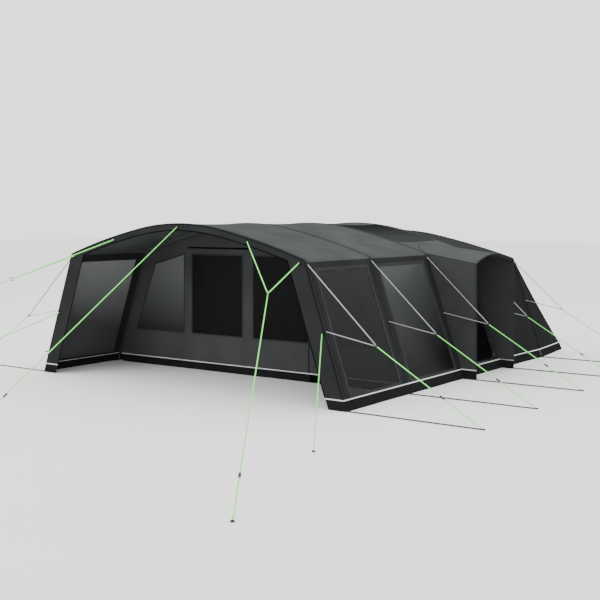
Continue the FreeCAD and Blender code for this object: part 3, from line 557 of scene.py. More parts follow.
def rounded(outline: Sequence[Point2], radius: float, steps: int = 4) -> list[Point2]:
    """A closed outline with its corners rounded.

    Args:
        outline: the corners.
        radius: the corners' radius.
        steps: parts of each arc.

    Returns:
        The points of the rounded outline.
    """
    points = [Vector(point) for point in outline]
    result: list[Point2] = []
    for before, here, after in zip(points[-1:] + points[:-1], points, points[1:] + points[:1]):
        back, onward = (before - here).normalized(), (after - here).normalized()
        angle = back.angle(onward)
        reach = radius / math.tan(angle / 2)
        first, last = here + back * reach, here + onward * reach
        for step in range(steps + 1):
            share = step / steps
            one = first.lerp(here, share)
            two = here.lerp(last, share)
            result.append(tuple(one.lerp(two, share)))
    return result


def dense(path: Sequence[Point2], step: float, closed: bool = True) -> list[Point2]:
    """A path with extra points so that none is further than a step from the next."""
    ends = list(path[1:]) + (list(path[:1]) if closed else [])
    result: list[Point2] = []
    for first, last in zip(path, ends):
        one, two = Vector(first), Vector(last)
        count = max(1, math.ceil((two - one).length / step))
        result += [tuple(one.lerp(two, index / count)) for index in range(count)]
    return result if closed else result + [tuple(path[-1])]


@dataclass
class Plane:
    """A flat or slightly hollow wall that pieces are laid on."""

    origin: Vector
    across: Vector
    up: Vector
    out: Vector
    hollow: Callable[[float, float], float] = field(default=lambda a, b: 0.0)

    def at(self, a: float, b: float, lift: float = 0.0) -> Vector:
        """The place of a point of the wall, lifted off it."""
        lift -= self.hollow(a, b)
        return self.origin + self.across * a + self.up * b + self.out * lift

    def frame(self, outline: Sequence[Point2], inner: float, outer: float, base: float,
              rise: float) -> Shell:
        """A raised border round an outline, with chamfered edges.

        Args:
            outline: the border's own line.
            inner: how far it reaches inward.
            outer: how far it reaches outward.
            base: height of its underside above the wall.
            rise: its thickness.

        Returns:
            The border.
        """
        chamfer = rise * 0.6
        levels = [(-inner, base), (-inner, base + rise * 0.6), (chamfer - inner, base + rise),
                  (outer - chamfer, base + rise), (outer, base + rise * 0.6), (outer, base)]
        sizes = [[self.at(*point, lift) for point in dense_like(grown(outline, grow), outline)]
                 for grow, lift in levels]
        return Shell().rings(sizes, around=True)

    def strip(self, path: Sequence[Point2], width: float, base: float, rise: float) -> Shell:
        """A flat strip along an open path.

        Args:
            path: the strip's middle.
            width: its width.
            base: height of its underside above the wall.
            rise: its thickness.

        Returns:
            The strip.
        """
        points = [Vector(point) for point in dense(path, 0.12, closed=False)]
        rings = []
        for index, here in enumerate(points):
            way = points[min(index + 1, len(points) - 1)] - points[max(index - 1, 0)]
            aside = Vector((way.y, -way.x)).normalized() * width / 2
            edge = [here - aside, here - aside * 0.9, here + aside * 0.9, here + aside]
            ring = [self.at(*point, base) for point in (edge[3], edge[0])]
            ring += [self.at(*edge[0], base + rise * 0.5), self.at(*edge[1], base + rise),
                     self.at(*edge[2], base + rise), self.at(*edge[3], base + rise * 0.5)]
            rings.append(ring)
        return Shell().rings(rings)

    def stitches(self, path: Sequence[Point2], base: float, pitch: float = 0.016) -> Shell:
        """A row of stitches along a closed path."""
        shell = Shell()
        ends = list(path[1:]) + list(path[:1])
        for first, last in zip(path, ends):
            one, two = Vector(first), Vector(last)
            long = (two - one).length
            if long < pitch:
                continue
            way = (two - one) / long
            aside = Vector((way.y, -way.x)) * 0.0009
            for index in range(int(long / pitch)):
                start = one + way * (index + 0.2) * pitch
                stop = start + way * pitch * 0.6
                ring = [(start - aside, base), (start + aside, base), (stop + aside, base),
                        (stop - aside, base)]
                low = [self.at(*point, lift) for point, lift in ring]
                high = [self.at(*point, lift + 0.0011) for point, lift in ring]
                shell.rings([low, high])
        return shell

    def panel(self, outline: Sequence[Point2], holes: Sequence[Sequence[Point2]], face: float,
              thickness: float) -> Shell:
        """A closed flat panel with holes.

        Args:
            outline: its edge.
            holes: the edges of its holes.
            face: height of its outer face above the wall.
            thickness: its thickness.

        Returns:
            The panel.
        """
        loops = [list(outline), *[list(hole) for hole in holes]]
        flat = [point for loop in loops for point in loop]
        triangles = tessellate_polygon([[Vector((*point, 0.0)) for point in loop]
                                        for loop in loops])
        count = len(flat)
        points = [self.at(*point, face) for point in flat]
        points += [self.at(*point, face - thickness) for point in flat]
        faces = [tuple(triangle) for triangle in triangles]
        faces += [tuple(count + index for index in reversed(triangle)) for triangle in triangles]
        start = 0
        for loop in loops:
            for index in range(len(loop)):
                one, two = start + index, start + (index + 1) % len(loop)
                faces.append((one, two, two + count, one + count))
            start += len(loop)
        return Shell().extend(points, faces)


def dense_like(outline: Sequence[Point2], model: Sequence[Point2], step: float = 0.12
               ) -> list[Point2]:
    """An outline with as many points on each side as its model takes."""
    result: list[Point2] = []
    sides = zip(outline, list(outline[1:]) + list(outline[:1]),
                model, list(model[1:]) + list(model[:1]))
    for first, last, one, two in sides:
        count = max(1, math.ceil((Vector(two) - Vector(one)).length / step))
        result += [tuple(Vector(first).lerp(Vector(last), index / count))
                   for index in range(count)]
    return result


# ------------------------------------------------------------------------------ the form


class Zone(Enum):
    """The stretches of a hoop's outline, from its foot to the ridge."""

    WALL = 0
    BEND = 1
    ROOF = 2
    CROWN = 3


Station = tuple[Zone, float, int]


@dataclass(frozen=True)
class HoopSize:
    """Driving sizes of one hoop's outline."""

    ridge: float
    shoulder: float
    half: float
    foot: float


class Hoop:
    """One hoop's outline: a wall line, a shoulder bend and a two-arc roof."""

    CROWN_HALF = 0.707
    CROWN_SLOPE = math.radians(11.5)
    BEND = 0.055

    def __init__(self, y: float, size: HoopSize, low: float) -> None:
        """Work out the arcs.

        Args:
            y: the hoop's plane.
            size: its driving sizes.
            low: height where the skin starts.
        """
        self.y, self.low = y, low
        self.crown_radius = self.CROWN_HALF / math.sin(self.CROWN_SLOPE)
        self.crown_z = size.ridge - self.crown_radius
        crown_end = self.crown_z + self.crown_radius * math.cos(self.CROWN_SLOPE)
        chord = math.atan((crown_end - size.shoulder) / (size.half - self.CROWN_HALF))
        end_slope = 2 * chord - self.CROWN_SLOPE
        rise = math.sin(end_slope) - math.sin(self.CROWN_SLOPE)
        self.roof_radius = (size.half - self.CROWN_HALF) / rise
        self.roof_x = self.CROWN_HALF - self.roof_radius * math.sin(self.CROWN_SLOPE)
        self.roof_z = crown_end - self.roof_radius * math.cos(self.CROWN_SLOPE)
        length = math.hypot(size.foot - size.half, size.shoulder)
        self.down = Vector(((size.foot - size.half) / length, 0.0, -size.shoulder / length))
        self.out = Vector((-self.down.z, 0.0, self.down.x))
        corner = Vector((size.half, 0.0, size.shoulder)) - self.out * self.BEND
        from_roof = corner - Vector((self.roof_x, 0.0, self.roof_z))
        along = from_roof.dot(self.down)
        rest = along ** 2 - from_roof.length_squared + (self.roof_radius - self.BEND) ** 2
        shift = min(-along + math.sqrt(rest), -along - math.sqrt(rest), key=abs)
        self.bend_centre = corner + self.down * shift
        self.wall_slope = math.atan2(self.out.x, self.out.z)
        self.bend_slope = math.atan2(self.bend_centre.x - self.roof_x,
                                     self.bend_centre.z - self.roof_z)
        self.wall_top = self.bend_centre + self.out * self.BEND

    def slope(self, zone: Zone, share: float) -> float:
        """How far the outward normal leans from straight up."""
        ends = {Zone.WALL: (self.wall_slope, self.wall_slope),
                Zone.BEND: (self.wall_slope, self.bend_slope),
                Zone.ROOF: (self.bend_slope, self.CROWN_SLOPE),
                Zone.CROWN: (self.CROWN_SLOPE, 0.0)}[zone]
        return ends[0] + (ends[1] - ends[0]) * share

    def outward(self, station: Station) -> Vector:
        """The outward normal at a station."""
        zone, share, side = station
        lean = self.slope(zone, share)
        return Vector((side * math.sin(lean), 0.0, math.cos(lean)))

    def place(self, station: Station, inset: float = 0.0, y: float | None = None) -> Vector:
        """The point of a station, set in from the outer face.

        Args:
            station: zone, share of the zone and side.
            inset: distance inside the outer face.
            y: plane of the point; the hoop's own if None.

        Returns:
            The point.
        """
        zone, share, side = station
        if zone is Zone.WALL:
            height = self.low + (self.wall_top.z - self.low) * share
            point = self.wall_top + self.down * ((self.wall_top.z - height) / -self.down.z)
        else:
            lean = self.slope(zone, share)
            centre, radius = {
                Zone.BEND: (self.bend_centre, self.BEND),
                Zone.ROOF: (Vector((self.roof_x, 0.0, self.roof_z)), self.roof_radius),
                Zone.CROWN: (Vector((0.0, 0.0, self.crown_z)), self.crown_radius),
            }[zone]
            point = centre + Vector((math.sin(lean), 0.0, math.cos(lean))) * radius
        point = Vector((side * point.x, self.y if y is None else y, point.z))
        return point - self.outward(station) * inset

    def station_at(self, x: float) -> tuple[Zone, float]:
        """The zone and share of the roof at a distance from the centre plane."""
        if x <= self.CROWN_HALF:
            return Zone.CROWN, 1 - math.asin(x / self.crown_radius) / self.CROWN_SLOPE
        lean = math.asin((x - self.roof_x) / self.roof_radius)
        return Zone.ROOF, (self.bend_slope - lean) / (self.bend_slope - self.CROWN_SLOPE)

    def height_at(self, x: float) -> float:
        """The outer face's height at a distance from the centre plane."""
        if x > self.wall_top.x:
            return self.wall_top.z + (x - self.wall_top.x) * self.down.z / self.down.x
        zone, share = self.station_at(min(x, self.wall_top.x - 0.02))
        return self.place((zone, share, 1)).z

    def wall_x(self, z: float) -> float:
        """The wall's distance from the centre plane at a height."""
        return self.wall_top.x + (self.wall_top.z - z) * self.down.x / -self.down.z


def stations(wall: Sequence[float] = (), extra: Sequence[tuple[Zone, float]] = ()
             ) -> list[Station]:
    """The stations of a whole outline from the right foot to the left foot.

    Args:
        wall: shares of the wall; empty starts the outline at the shoulder seam.
        extra: further zones and shares to include on both sides.

    Returns:
        The stations.
    """
    half = [(Zone.WALL, share) for share in wall]
    half += [(Zone.BEND, step / 4) for step in range(1 if wall else 0, 5)]
    half += [(Zone.ROOF, step / 12) for step in range(1, 13)]
    half += [(Zone.CROWN, step / 8) for step in range(1, 9)]
    half = sorted(set(half) | set(extra), key=lambda item: (item[0].value, item[1]))
    right = [(zone, share, 1) for zone, share in half]
    return right + [(zone, share, -1) for zone, share in reversed(half[:-1])]


@dataclass
class TentForm:
    """The tent's driving sizes, and where its hoops stand in the frame."""

    main: HoopSize = HoopSize(2.150, 1.721, 2.020, 2.609)
    rear: HoopSize = HoopSize(2.019, 1.573, 2.149, 2.653)
    skin_low: float = 0.1243
    sleeve_width: float = 0.052
    sleeve_depth: float = 0.028
    seam: float = 0.0003
    rear_corner: float = 2.534
    rear_lip: float = 0.026

    def __post_init__(self) -> None:
        """Find the hoops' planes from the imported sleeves."""
        planes = []
        for number in range(1, 6):
            low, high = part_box(f"sleeve_{number}")
            planes.append((low[1] + high[1]) / 2)
        self.hoops = [Hoop(y, self.main, self.skin_low) for y in planes[:4]]
        self.hoops.append(Hoop(planes[4], self.rear, self.skin_low))
        self.rear_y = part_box("mud_flap")[1][1]
        self.edge = self.sleeve_width / 2 + self.seam

    def side_plane(self, first: Hoop, last: Hoop, hollow: float) -> Plane:
        """The right-hand wall between two equal hoops, across is +Y and up runs up the slope.

        Args:
            first: the hoop at the front.
            last: the hoop at the back.
            hollow: how far the wall draws in between them.

        Returns:
            The wall's plane.
        """
        foot = Vector((first.wall_x(0.0), 0.0, 0.0))
        long = first.wall_top.z / -first.down.z
        start, end = first.y + self.edge, last.y - self.edge

        def dip(a: float, b: float) -> float:
            u = min(1.0, max(0.0, (a - start) / (end - start)))
            v = min(1.0, max(0.0, (b - self.skin_low) / (long - self.skin_low)))
            return hollow * 4 * u * (1 - u) * math.sin(math.pi * v)

        return Plane(foot, Vector((0, 1, 0)), -first.down, first.out, dip)


@dataclass
class WallWindow:
    """A window in a side wall, in heights and distances from its hoops."""

    sill: float = 0.160
    head: float = 1.592
    side: float = 0.150


@dataclass
class Bays:
    """The skins between the main hoops: roofs, side walls and their windows."""

    form: TentForm
    window: WallWindow = field(default_factory=WallWindow)
    roof_hollow: float = 0.014
    wall_hollow: float = 0.007
    cloth: float = 0.0022
    film: float = 0.0012
    film_inset: float = 0.0025
    hem: float = 0.034
    roof_light: Point2 = (0.450, 1.500)
    roof_light_side: float = 0.060

    def sloped(self, z: float) -> float:
        """A height as a distance up the sloping wall."""
        return z / -self.form.hoops[0].down.z

    def columns(self, first: Hoop, last: Hoop, marks: Sequence[float] = ()) -> list[float]:
        """Planes across a bay, with extra ones at given marks."""
        start, end = first.y + self.form.edge, last.y - self.form.edge
        even = [start + (end - start) * step / 14 for step in range(15)]
        keep = [y for y in even if all(abs(y - mark) > 0.03 for mark in marks)]
        return sorted(keep + list(marks))

    def roof(self, name: str, number: int, lights: bool = False) -> None:
        """One bay's roof, from one shoulder seam to the other.

        Args:
            name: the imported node.
            number: index of the bay's first hoop.
            lights: cut the two roof windows.
        """
        first, last = self.form.hoops[number], self.form.hoops[number + 1]
        side = self.form.sleeve_width / 2 + self.roof_light_side
        marks = [first.y + side, last.y - side] if lights else []
        columns = self.columns(first, last, marks)
        extra = [first.station_at(x) for x in self.roof_light] if lights else []
        line = stations(extra=extra)
        start, end = columns[0], columns[-1]

        def dip(station: Station, y: float) -> float:
            u = (y - start) / (end - start)
            edge = 0.0 if station[0] is Zone.BEND and station[1] < 1 else 1.0
            return self.roof_hollow * 4 * u * (1 - u) * edge + self.form.seam

        rows = [[first.place(station, dip(station, y), y) for y in columns] for station in line]

        def skip(i: int, j: int) -> bool:
            if not lights:
                return False
            low, high = self.roof_light
            middle = abs((rows[i][0].x + rows[i + 1][0].x) / 2)
            return low < middle < high and marks[0] <= columns[j] < marks[1] - 1e-6

        shell = Shell().grid(rows, skip)
        piece = shell.build(f"{name}_roof", ROOF, self.cloth)
        settle(piece, "tent", [name])
        if lights:
            self.roof_lights(first, line, rows, columns, marks)

    def roof_lights(self, hoop: Hoop, line: list[Station], rows: list[list[Vector]],
                    columns: list[float], marks: list[float]) -> None:
        """The two roof windows and the hems round them."""
        low, high = self.roof_light
        inner = [j for j, y in enumerate(columns) if marks[0] - 1e-6 <= y <= marks[1] + 1e-6]
        for side, word in ((1, "right"), (-1, "left")):
            picked = [i for i, station in enumerate(line) if station[2] == side
                      and low - 1e-4 <= abs(rows[i][0].x) <= high + 0.012]
            net = [[rows[i][j] - hoop.outward(line[i]) * 0.001 for j in inner] for i in picked]
            film = Shell().grid(net).build(f"roof_window_{word}", FILM_ROOF, self.film)
            settle(film, "tent", ["roof_windows"])
            edge = [(i, inner[0]) for i in picked] + [(picked[-1], j) for j in inner[1:]]
            edge += [(i, inner[-1]) for i in reversed(picked[:-1])]
            edge += [(picked[0], j) for j in reversed(inner[1:-1])]
            path = [rows[i][j] for i, j in edge]
            ups = [hoop.outward(line[i]) for i, _ in edge]
            self.border(f"roof_window_hem_{word}", path, ups)

    def border(self, name: str, path: list[Vector], ups: list[Vector]) -> None:
        """A flat hem that follows a closed path on the roof."""
        half, rise = self.hem / 2, 0.0025
        rings = []
        for index, (point, up) in enumerate(zip(path, ups)):
            way = (path[(index + 1) % len(path)] - path[index - 1]).normalized()
            aside = way.cross(up).normalized()
            profile = [(-half, 0.0), (half, 0.0), (half, rise * 0.6), (half * 0.9, rise),
                       (-half * 0.9, rise), (-half, rise * 0.6)]
            rings.append([point + aside * a + up * b for a, b in profile])
        piece = Shell().rings(rings, around=True).build(name, HEM)
        settle(piece, "tent", ["porch_bay"])

    def walls(self, name: str, number: int, films: tuple[Film, Film] | None,
              doorway: Sequence[float] | None = None) -> None:
        """One bay's two side walls, each with a window or a doorway.

        Args:
            name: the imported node.
            number: index of the bay's first hoop.
            films: finishes of the right and the left window, or None for a doorway.
            doorway: its two planes and two heights.
        """
        first, last = self.form.hoops[number], self.form.hoops[number + 1]
        plane = self.form.side_plane(first, last, self.wall_hollow)
        if films:
            y0, y1 = first.y + self.window.side, last.y - self.window.side
            z0, z1 = self.window.sill, self.window.head
        else:
            y0, y1, z0, z1 = doorway
        b0, b1 = self.sloped(z0), self.sloped(z1)
        columns = self.columns(first, last, [y0, y1])
        low, high = self.sloped(self.form.skin_low), self.sloped(first.wall_top.z)
        heights = [low + (high - low) * step / 18 for step in range(19)]
        heights = sorted([b for b in heights if min(abs(b - b0), abs(b - b1)) > 0.03] + [b0, b1])
        rows = [[plane.at(y, b) for y in columns] for b in heights]

        def skip(i: int, j: int) -> bool:
            return b0 - 1e-6 <= heights[i] < b1 - 1e-6 and y0 - 1e-6 <= columns[j] < y1 - 1e-6

        wall = Shell().grid(rows, skip)
        outline = [(y0, b0), (y1, b0), (y1, b1), (y0, b1)]
        hem = plane.frame(outline, 0.0 if doorway else 0.006, self.hem, 0.0002, 0.0024)
        thread = plane.stitches(grown(outline, self.hem - 0.006), 0.0026)
        thread.merge(plane.stitches(grown(outline, 0.006), 0.0026))
        for word, mirror in (("right", False), ("left", True)):
            turn = Shell.mirrored if mirror else (lambda shell: shell)
            piece = turn(wall).build(f"{name}_wall_{word}", WALL, self.cloth)
            settle(piece, "tent", [name])
            settle(turn(hem).build(f"{name}_hem_{word}", HEM), "tent", [name])
            settle(turn(thread).build(f"{name}_stitches_{word}", THREAD), "tent", [name])
            if films:
                self.window_film(plane, (y0, y1, b0, b1), f"{name}_window_{word}",
                                 films[1 if mirror else 0], turn)

    def window_film(self, plane: Plane, span: Sequence[float], name: str, finish: Film,
                    turn: Callable[[Shell], Shell]) -> None:
        """One side window's film, with a soft outward belly between its hems."""
        y0, y1, b0, b1 = span
        rows = []
        for i in range(13):
            b = b0 + (b1 - b0) * i / 12
            row = []
            for j in range(11):
                y = y0 + (y1 - y0) * j / 10
                belly = 0.004 * math.sin(math.pi * i / 12) * math.sin(math.pi * j / 10)
                row.append(plane.at(y, b, belly - self.film_inset))
            rows.append(row)
        piece = turn(Shell().grid(rows)).build(name, finish, self.film)
        settle(piece, "tent", ["side_windows"])

    def build(self) -> None:
        """Make every bay between the main hoops."""
        self.roof("canopy_bay", 0)
        self.roof("living_bay", 1)
        self.roof("porch_bay", 2, lights=True)
        self.walls("canopy_bay", 0, (FILM_CLEAR, FILM_LEFT_PAINTED_SHEEN))
        self.walls("living_bay", 1, (FILM_LIVING, FILM_LIVING))
        door = SideDoor(self.form)
        self.walls("porch_bay", 2, None, door.opening())


@dataclass
class Sleeves:
    """The cloth tunnels round the poles, their seam tapes and the poles themselves."""

    form: TentForm
    bulge: float = 0.0035
    tape: float = 0.013
    tape_rise: float = 0.0018

    def profile(self) -> list[Point2]:
        """The tunnel's cross-section: a low crown outside and a round pocket inside."""
        half, deep = self.form.sleeve_width / 2, self.form.sleeve_depth
        outer = []
        for step in range(9):
            share = -1 + step / 4
            outer.append((half * share, 0.0004 + self.bulge * math.cos(math.pi * share / 2)))
        inner = []
        for step in range(9):
            turn = math.pi * step / 8
            inner.append((half * 0.86 * math.cos(turn), -deep * math.sin(turn) ** 0.7))
        return outer + inner

    def build(self) -> None:
        """Make the five sleeves with their tapes, and finish the poles."""
        half = self.form.sleeve_width / 2
        rise = self.tape_rise
        flat = [(-self.tape / 2, 0.0), (self.tape / 2, 0.0), (self.tape / 2, rise * 0.6),
                (self.tape * 0.35, rise), (-self.tape * 0.35, rise), (-self.tape / 2, rise * 0.6)]
        line = stations([step / 8 for step in range(9)])
        across = [Vector((0, 1, 0))] * len(line)
        for number, hoop in enumerate(self.form.hoops, start=1):
            path = [hoop.place(station) for station in line]
            ups = [hoop.outward(station) for station in line]
            tunnel = Shell().sweep(path, across, ups, self.profile())
            piece = tunnel.build(f"sleeve_{number}_cloth", SLEEVE if number < 5 else REAR)
            settle(piece, "tent", [f"sleeve_{number}"])
            tapes = Shell()
            for aside in (half - self.tape * 0.3, self.tape * 0.3 - half):
                shifted = [point + across[0] * aside + up * 0.0006 for point, up in zip(path, ups)]
                tapes.sweep(shifted, across, ups, flat)
            settle(tapes.build(f"sleeve_{number}_tape", SEAM_TAPE), "tent",
                   [f"sleeve_{number}"])
        poles = [f"roof_pole_{number}" for number in range(1, 6)]
        for node in [*poles, "leg_poles_right", "leg_poles_left"]:
            recoat(node, POLE)
        recoat("elbows", ELBOW)
        recoat("pole_feet", BLACK)
        recoat("bridle_rings", BLACK)


def recoat(node: str, finish: Hard) -> None:
    """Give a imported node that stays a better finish."""
    item = frame["nodes"][node]
    for slot in item.material_slots:
        slot.material = finish.material()
    LOG.info("%s recoated", node)


@dataclass
class FrontBand:
    """The cloth border round the canopy's open front."""

    form: TentForm
    top: float = 0.092
    leg: float = 0.240
    cloth: float = 0.004

    def inner_line(self) -> list[Point2]:
        """The opening's edge from the right foot over the top to the left foot."""
        hoop = self.form.hoops[0]
        shift = self.leg / -hoop.down.z

        def leg_x(z: float) -> float:
            return hoop.wall_x(z) - shift

        line = stations()
        roof = [hoop.place(station, self.top) for station in line]
        roof = [(p.x, p.z) for p in roof if abs(p.x) < leg_x(p.z)]
        low, high = 1.4, 2.0
        for _ in range(40):
            middle = (low + high) / 2
            zone, share = hoop.station_at(leg_x(middle))
            if hoop.place((zone, share, 1), self.top).z > middle:
                low = middle
            else:
                high = middle
        corner = (leg_x(low), low)
        foot = (leg_x(self.form.skin_low), self.form.skin_low)
        right = [foot, corner]
        return right + roof + [(-corner[0], corner[1]), (-foot[0], foot[1])]

    def build(self) -> None:
        """Make the band, its hem and its seam lines."""
        hoop = self.form.hoops[0]
        low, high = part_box("front_band")
        outer = [hoop.place(station) for station in stations([0.0, 0.25, 0.5, 0.75, 1.0])]
        outer = [(point.x, point.z) for point in outer]
        inner = self.inner_line()
        plane = Plane(Vector((0, low[1], 0)), Vector((1, 0, 0)), Vector((0, 0, 1)),
                      Vector((0, -1, 0)))
        shell = plane.panel(outer + inner[::-1], [], 0.0, self.cloth)
        piece = shell.build("front_band_cloth", WALL)
        settle(piece, "tent", ["front_band"])
        edge = plane.strip([(x * 1.0, z) for x, z in inner], 0.014, 0.0003, 0.0022)
        settle(edge.build("front_band_binding", SEAM_TAPE), "tent", ["front_band"])
        rim = [(point.x, point.z) for point in
               [hoop.place(station, 0.012) for station in stations([0.0, 0.3, 0.6, 1.0])]]
        line = plane.strip(rim, 0.006, 0.0003, 0.0014)
        settle(line.build("front_band_seam", SEAM_TAPE), "tent", ["front_band"])


@dataclass
class FrontWall:
    """The wall at the second hoop: three windows, a zip bar and the door on the right."""

    form: TentForm
    sill: float = 0.530
    head: float = 1.684
    mullion: float = 0.199
    window: float = 0.948
    light_gap: float = 0.159
    light_low: float = 0.974
    light_top: float = 0.583
    light_drop: float = 0.156
    hinge: float = 1.066
    door_low: float = 1.380
    door_top: float = 0.890
    door_head: float = 1.770
    door_drop: float = 0.210
    door_gap: float = 0.002
    cloth: float = 0.0022
    hem: float = 0.015
    bar: tuple[float, float] = (-1.130, 0.040)
    bar_height: float = 1.785
    bar_width: float = 0.024
    zip_stop: float = 0.045

    def plane(self) -> Plane:
        """The wall's outer face; across is +X and out is towards the canopy."""
        low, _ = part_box("front_wall")
        return Plane(Vector((0, low[1] + 0.0015, 0)), Vector((1, 0, 0)), Vector((0, 0, 1)),
                     Vector((0, -1, 0)))

    def corner_light(self, side: int) -> list[Point2]:
        """A corner window with a slanted outer edge."""
        inner = self.mullion / 2 + self.window + self.light_gap
        drop = self.head - self.light_drop
        return [(side * inner, self.sill), (side * (inner + self.light_low), self.sill),
                (side * (inner + self.light_top), drop), (side * inner, self.head)]

    def middle_light(self, side: int) -> list[Point2]:
        """One of the two upright windows in the middle."""
        inner = self.mullion / 2
        outer = inner + self.window
        return [(side * inner, self.sill), (side * outer, self.sill), (side * outer, self.head),
                (side * inner, self.head)]

    def doorway(self, gap: float) -> list[Point2]:
        """The door's outline, less a gap at all but its sewn edge."""
        low = self.hinge + self.door_low - gap
        top = self.hinge + self.door_top - gap
        head = self.door_head - gap
        return [(self.hinge + 0.0003, self.form.skin_low + gap), (low, self.form.skin_low + gap),
                (top, head - self.door_drop), (self.hinge + 0.0003, head)]

    def outline(self) -> list[Point2]:
        """The wall's edge inside the sleeve, with a notch for the door."""
        hoop = self.form.hoops[1]
        inset = self.form.sleeve_depth + self.form.seam
        over = [hoop.place(station, inset) for station in stations([0.0, 0.5, 1.0])]
        edge = [(point.x, point.z) for point in over]
        door = self.doorway(0.0)
        notch = [door[0], door[3], door[2], door[1]]
        return edge + notch

    def dressing(self, plane: Plane, outline: Sequence[Point2], name: str, finish: Film,
                 body: str, nodes: tuple[str, str]) -> None:
        """A window's film, its hem and its stitches.

        Args:
            plane: the wall.
            outline: the window's edge.
            name: name of the window.
            finish: its film.
            body: the body it moves with.
            nodes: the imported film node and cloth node.
        """
        film = plane.panel(outline, [], -0.0004, 0.0012)
        settle(film.build(name, finish), body, [nodes[0]])
        hem = plane.frame(outline, 0.006, self.hem, 0.0002, 0.0024)
        settle(hem.build(f"{name}_hem", HEM), body, [nodes[1]])
        thread = plane.stitches(grown(outline, self.hem - 0.006), 0.0026)
        settle(thread.build(f"{name}_stitches", THREAD), body, [nodes[1]])

    def build(self) -> None:
        """Make the wall, its windows, its zip bar and the door."""
        plane = self.plane()
        lights = [(self.corner_light(-1), "front_window_corner", FILM_CORNER),
                  (self.middle_light(-1), "front_window_left", FILM_FRONT),
                  (self.middle_light(1), "front_window_right", FILM_FRONT)]
        edge = self.outline()
        wall = plane.panel(edge, [outline for outline, _, _ in lights], 0.0, self.cloth)
        piece = wall.build("front_wall_cloth", INNER_WALL)
        settle(piece, "tent", ["front_wall"])
        for outline, name, finish in lights:
            self.dressing(plane, outline, name, finish, "tent", ("front_windows", "front_wall"))
        rail = plane.strip([(x, self.bar_height) for x in self.bar], self.bar_width, 0.0003,
                           0.005)
        settle(rail.build("front_wall_zip_bar", SEAM_TAPE), "tent", ["front_wall"])
        head = [self.form.hoops[1].place(station, 0.062) for station in stations([0.5, 1.0])]
        top = plane.strip([(point.x, point.z) for point in head], 0.010, 0.0003, 0.0016)
        settle(top.build("front_wall_head_seam", HEM), "tent", ["front_wall"])
        self.door(plane)

    def door(self, plane: Plane) -> None:
        """The door panel, its window, and the zip tape on both sides of its gap."""
        outline = self.doorway(self.door_gap)
        light = self.corner_light(1)
        panel = plane.panel(outline, [light], 0.0, self.cloth)
        piece = panel.build("front_door_cloth", INNER_WALL)
        settle(piece, "front_door", ["front_door"])
        self.dressing(plane, light, "front_door_window_film", FILM_FRONT, "front_door",
                      ("front_door_window", "front_door"))
        stop = Vector(outline[3]) - Vector(outline[2])
        stop = tuple(Vector(outline[3]) - stop.normalized() * self.zip_stop)
        free = [outline[1], outline[2], stop]
        inward = [grown(outline, -0.012)[index] for index in (1, 2)]
        inward.append((stop[0], stop[1] - 0.012))
        tape = plane.strip(inward, 0.016, 0.0003, 0.0018)
        settle(tape.build("front_door_zip_tape", SEAM_TAPE), "front_door", ["front_door"])
        outward = [grown(self.doorway(0.0), 0.011)[index] for index in (1, 2)]
        outward.append((stop[0], stop[1] + 0.013))
        guard = plane.strip(outward, 0.018, 0.0003, 0.0020)
        settle(guard.build("front_door_zip_guard", SEAM_TAPE), "tent", ["front_wall"])
        sewn = plane.strip([(self.hinge - 0.009, self.form.skin_low),
                            (self.hinge - 0.009, self.door_head)], 0.014, 0.0003, 0.0018)
        settle(sewn.build("front_door_sewn_edge", SEAM_TAPE), "tent", ["front_wall"])
        teeth = zip_teeth(plane, free, 0.0021)
        settle(teeth.build("front_door_zip_teeth", ZIP), "front_door", ["front_door"])
        make_slider("front_door_slider", (outline[2][0] - outline[1][0], 0.0,
                                          outline[2][1] - outline[1][1]), (0, -1, 0))


def zip_teeth(plane: Plane, path: Sequence[Point2], base: float) -> Shell:
    """A row of small teeth along a door's free edge, just inside it."""
    shell = Shell()
    pitch, long, half = 0.010, 0.006, 0.0018
    for first, last in zip(path, path[1:]):
        one, two = Vector(first), Vector(last)
        way = (two - one).normalized()
        aside = Vector((-way.y, way.x))
        for index in range(int((two - one).length / pitch)):
            middle = one + way * (index + 0.5) * pitch + aside * 0.006
            ring = [middle + way * a + aside * b for a, b in
                    ((-half, -long / 2), (half, -long / 2), (half, long / 2), (-half, long / 2))]
            shell.rings([[plane.at(*point, base) for point in ring],
                         [plane.at(*point, base + 0.0012) for point in ring]])
    return shell


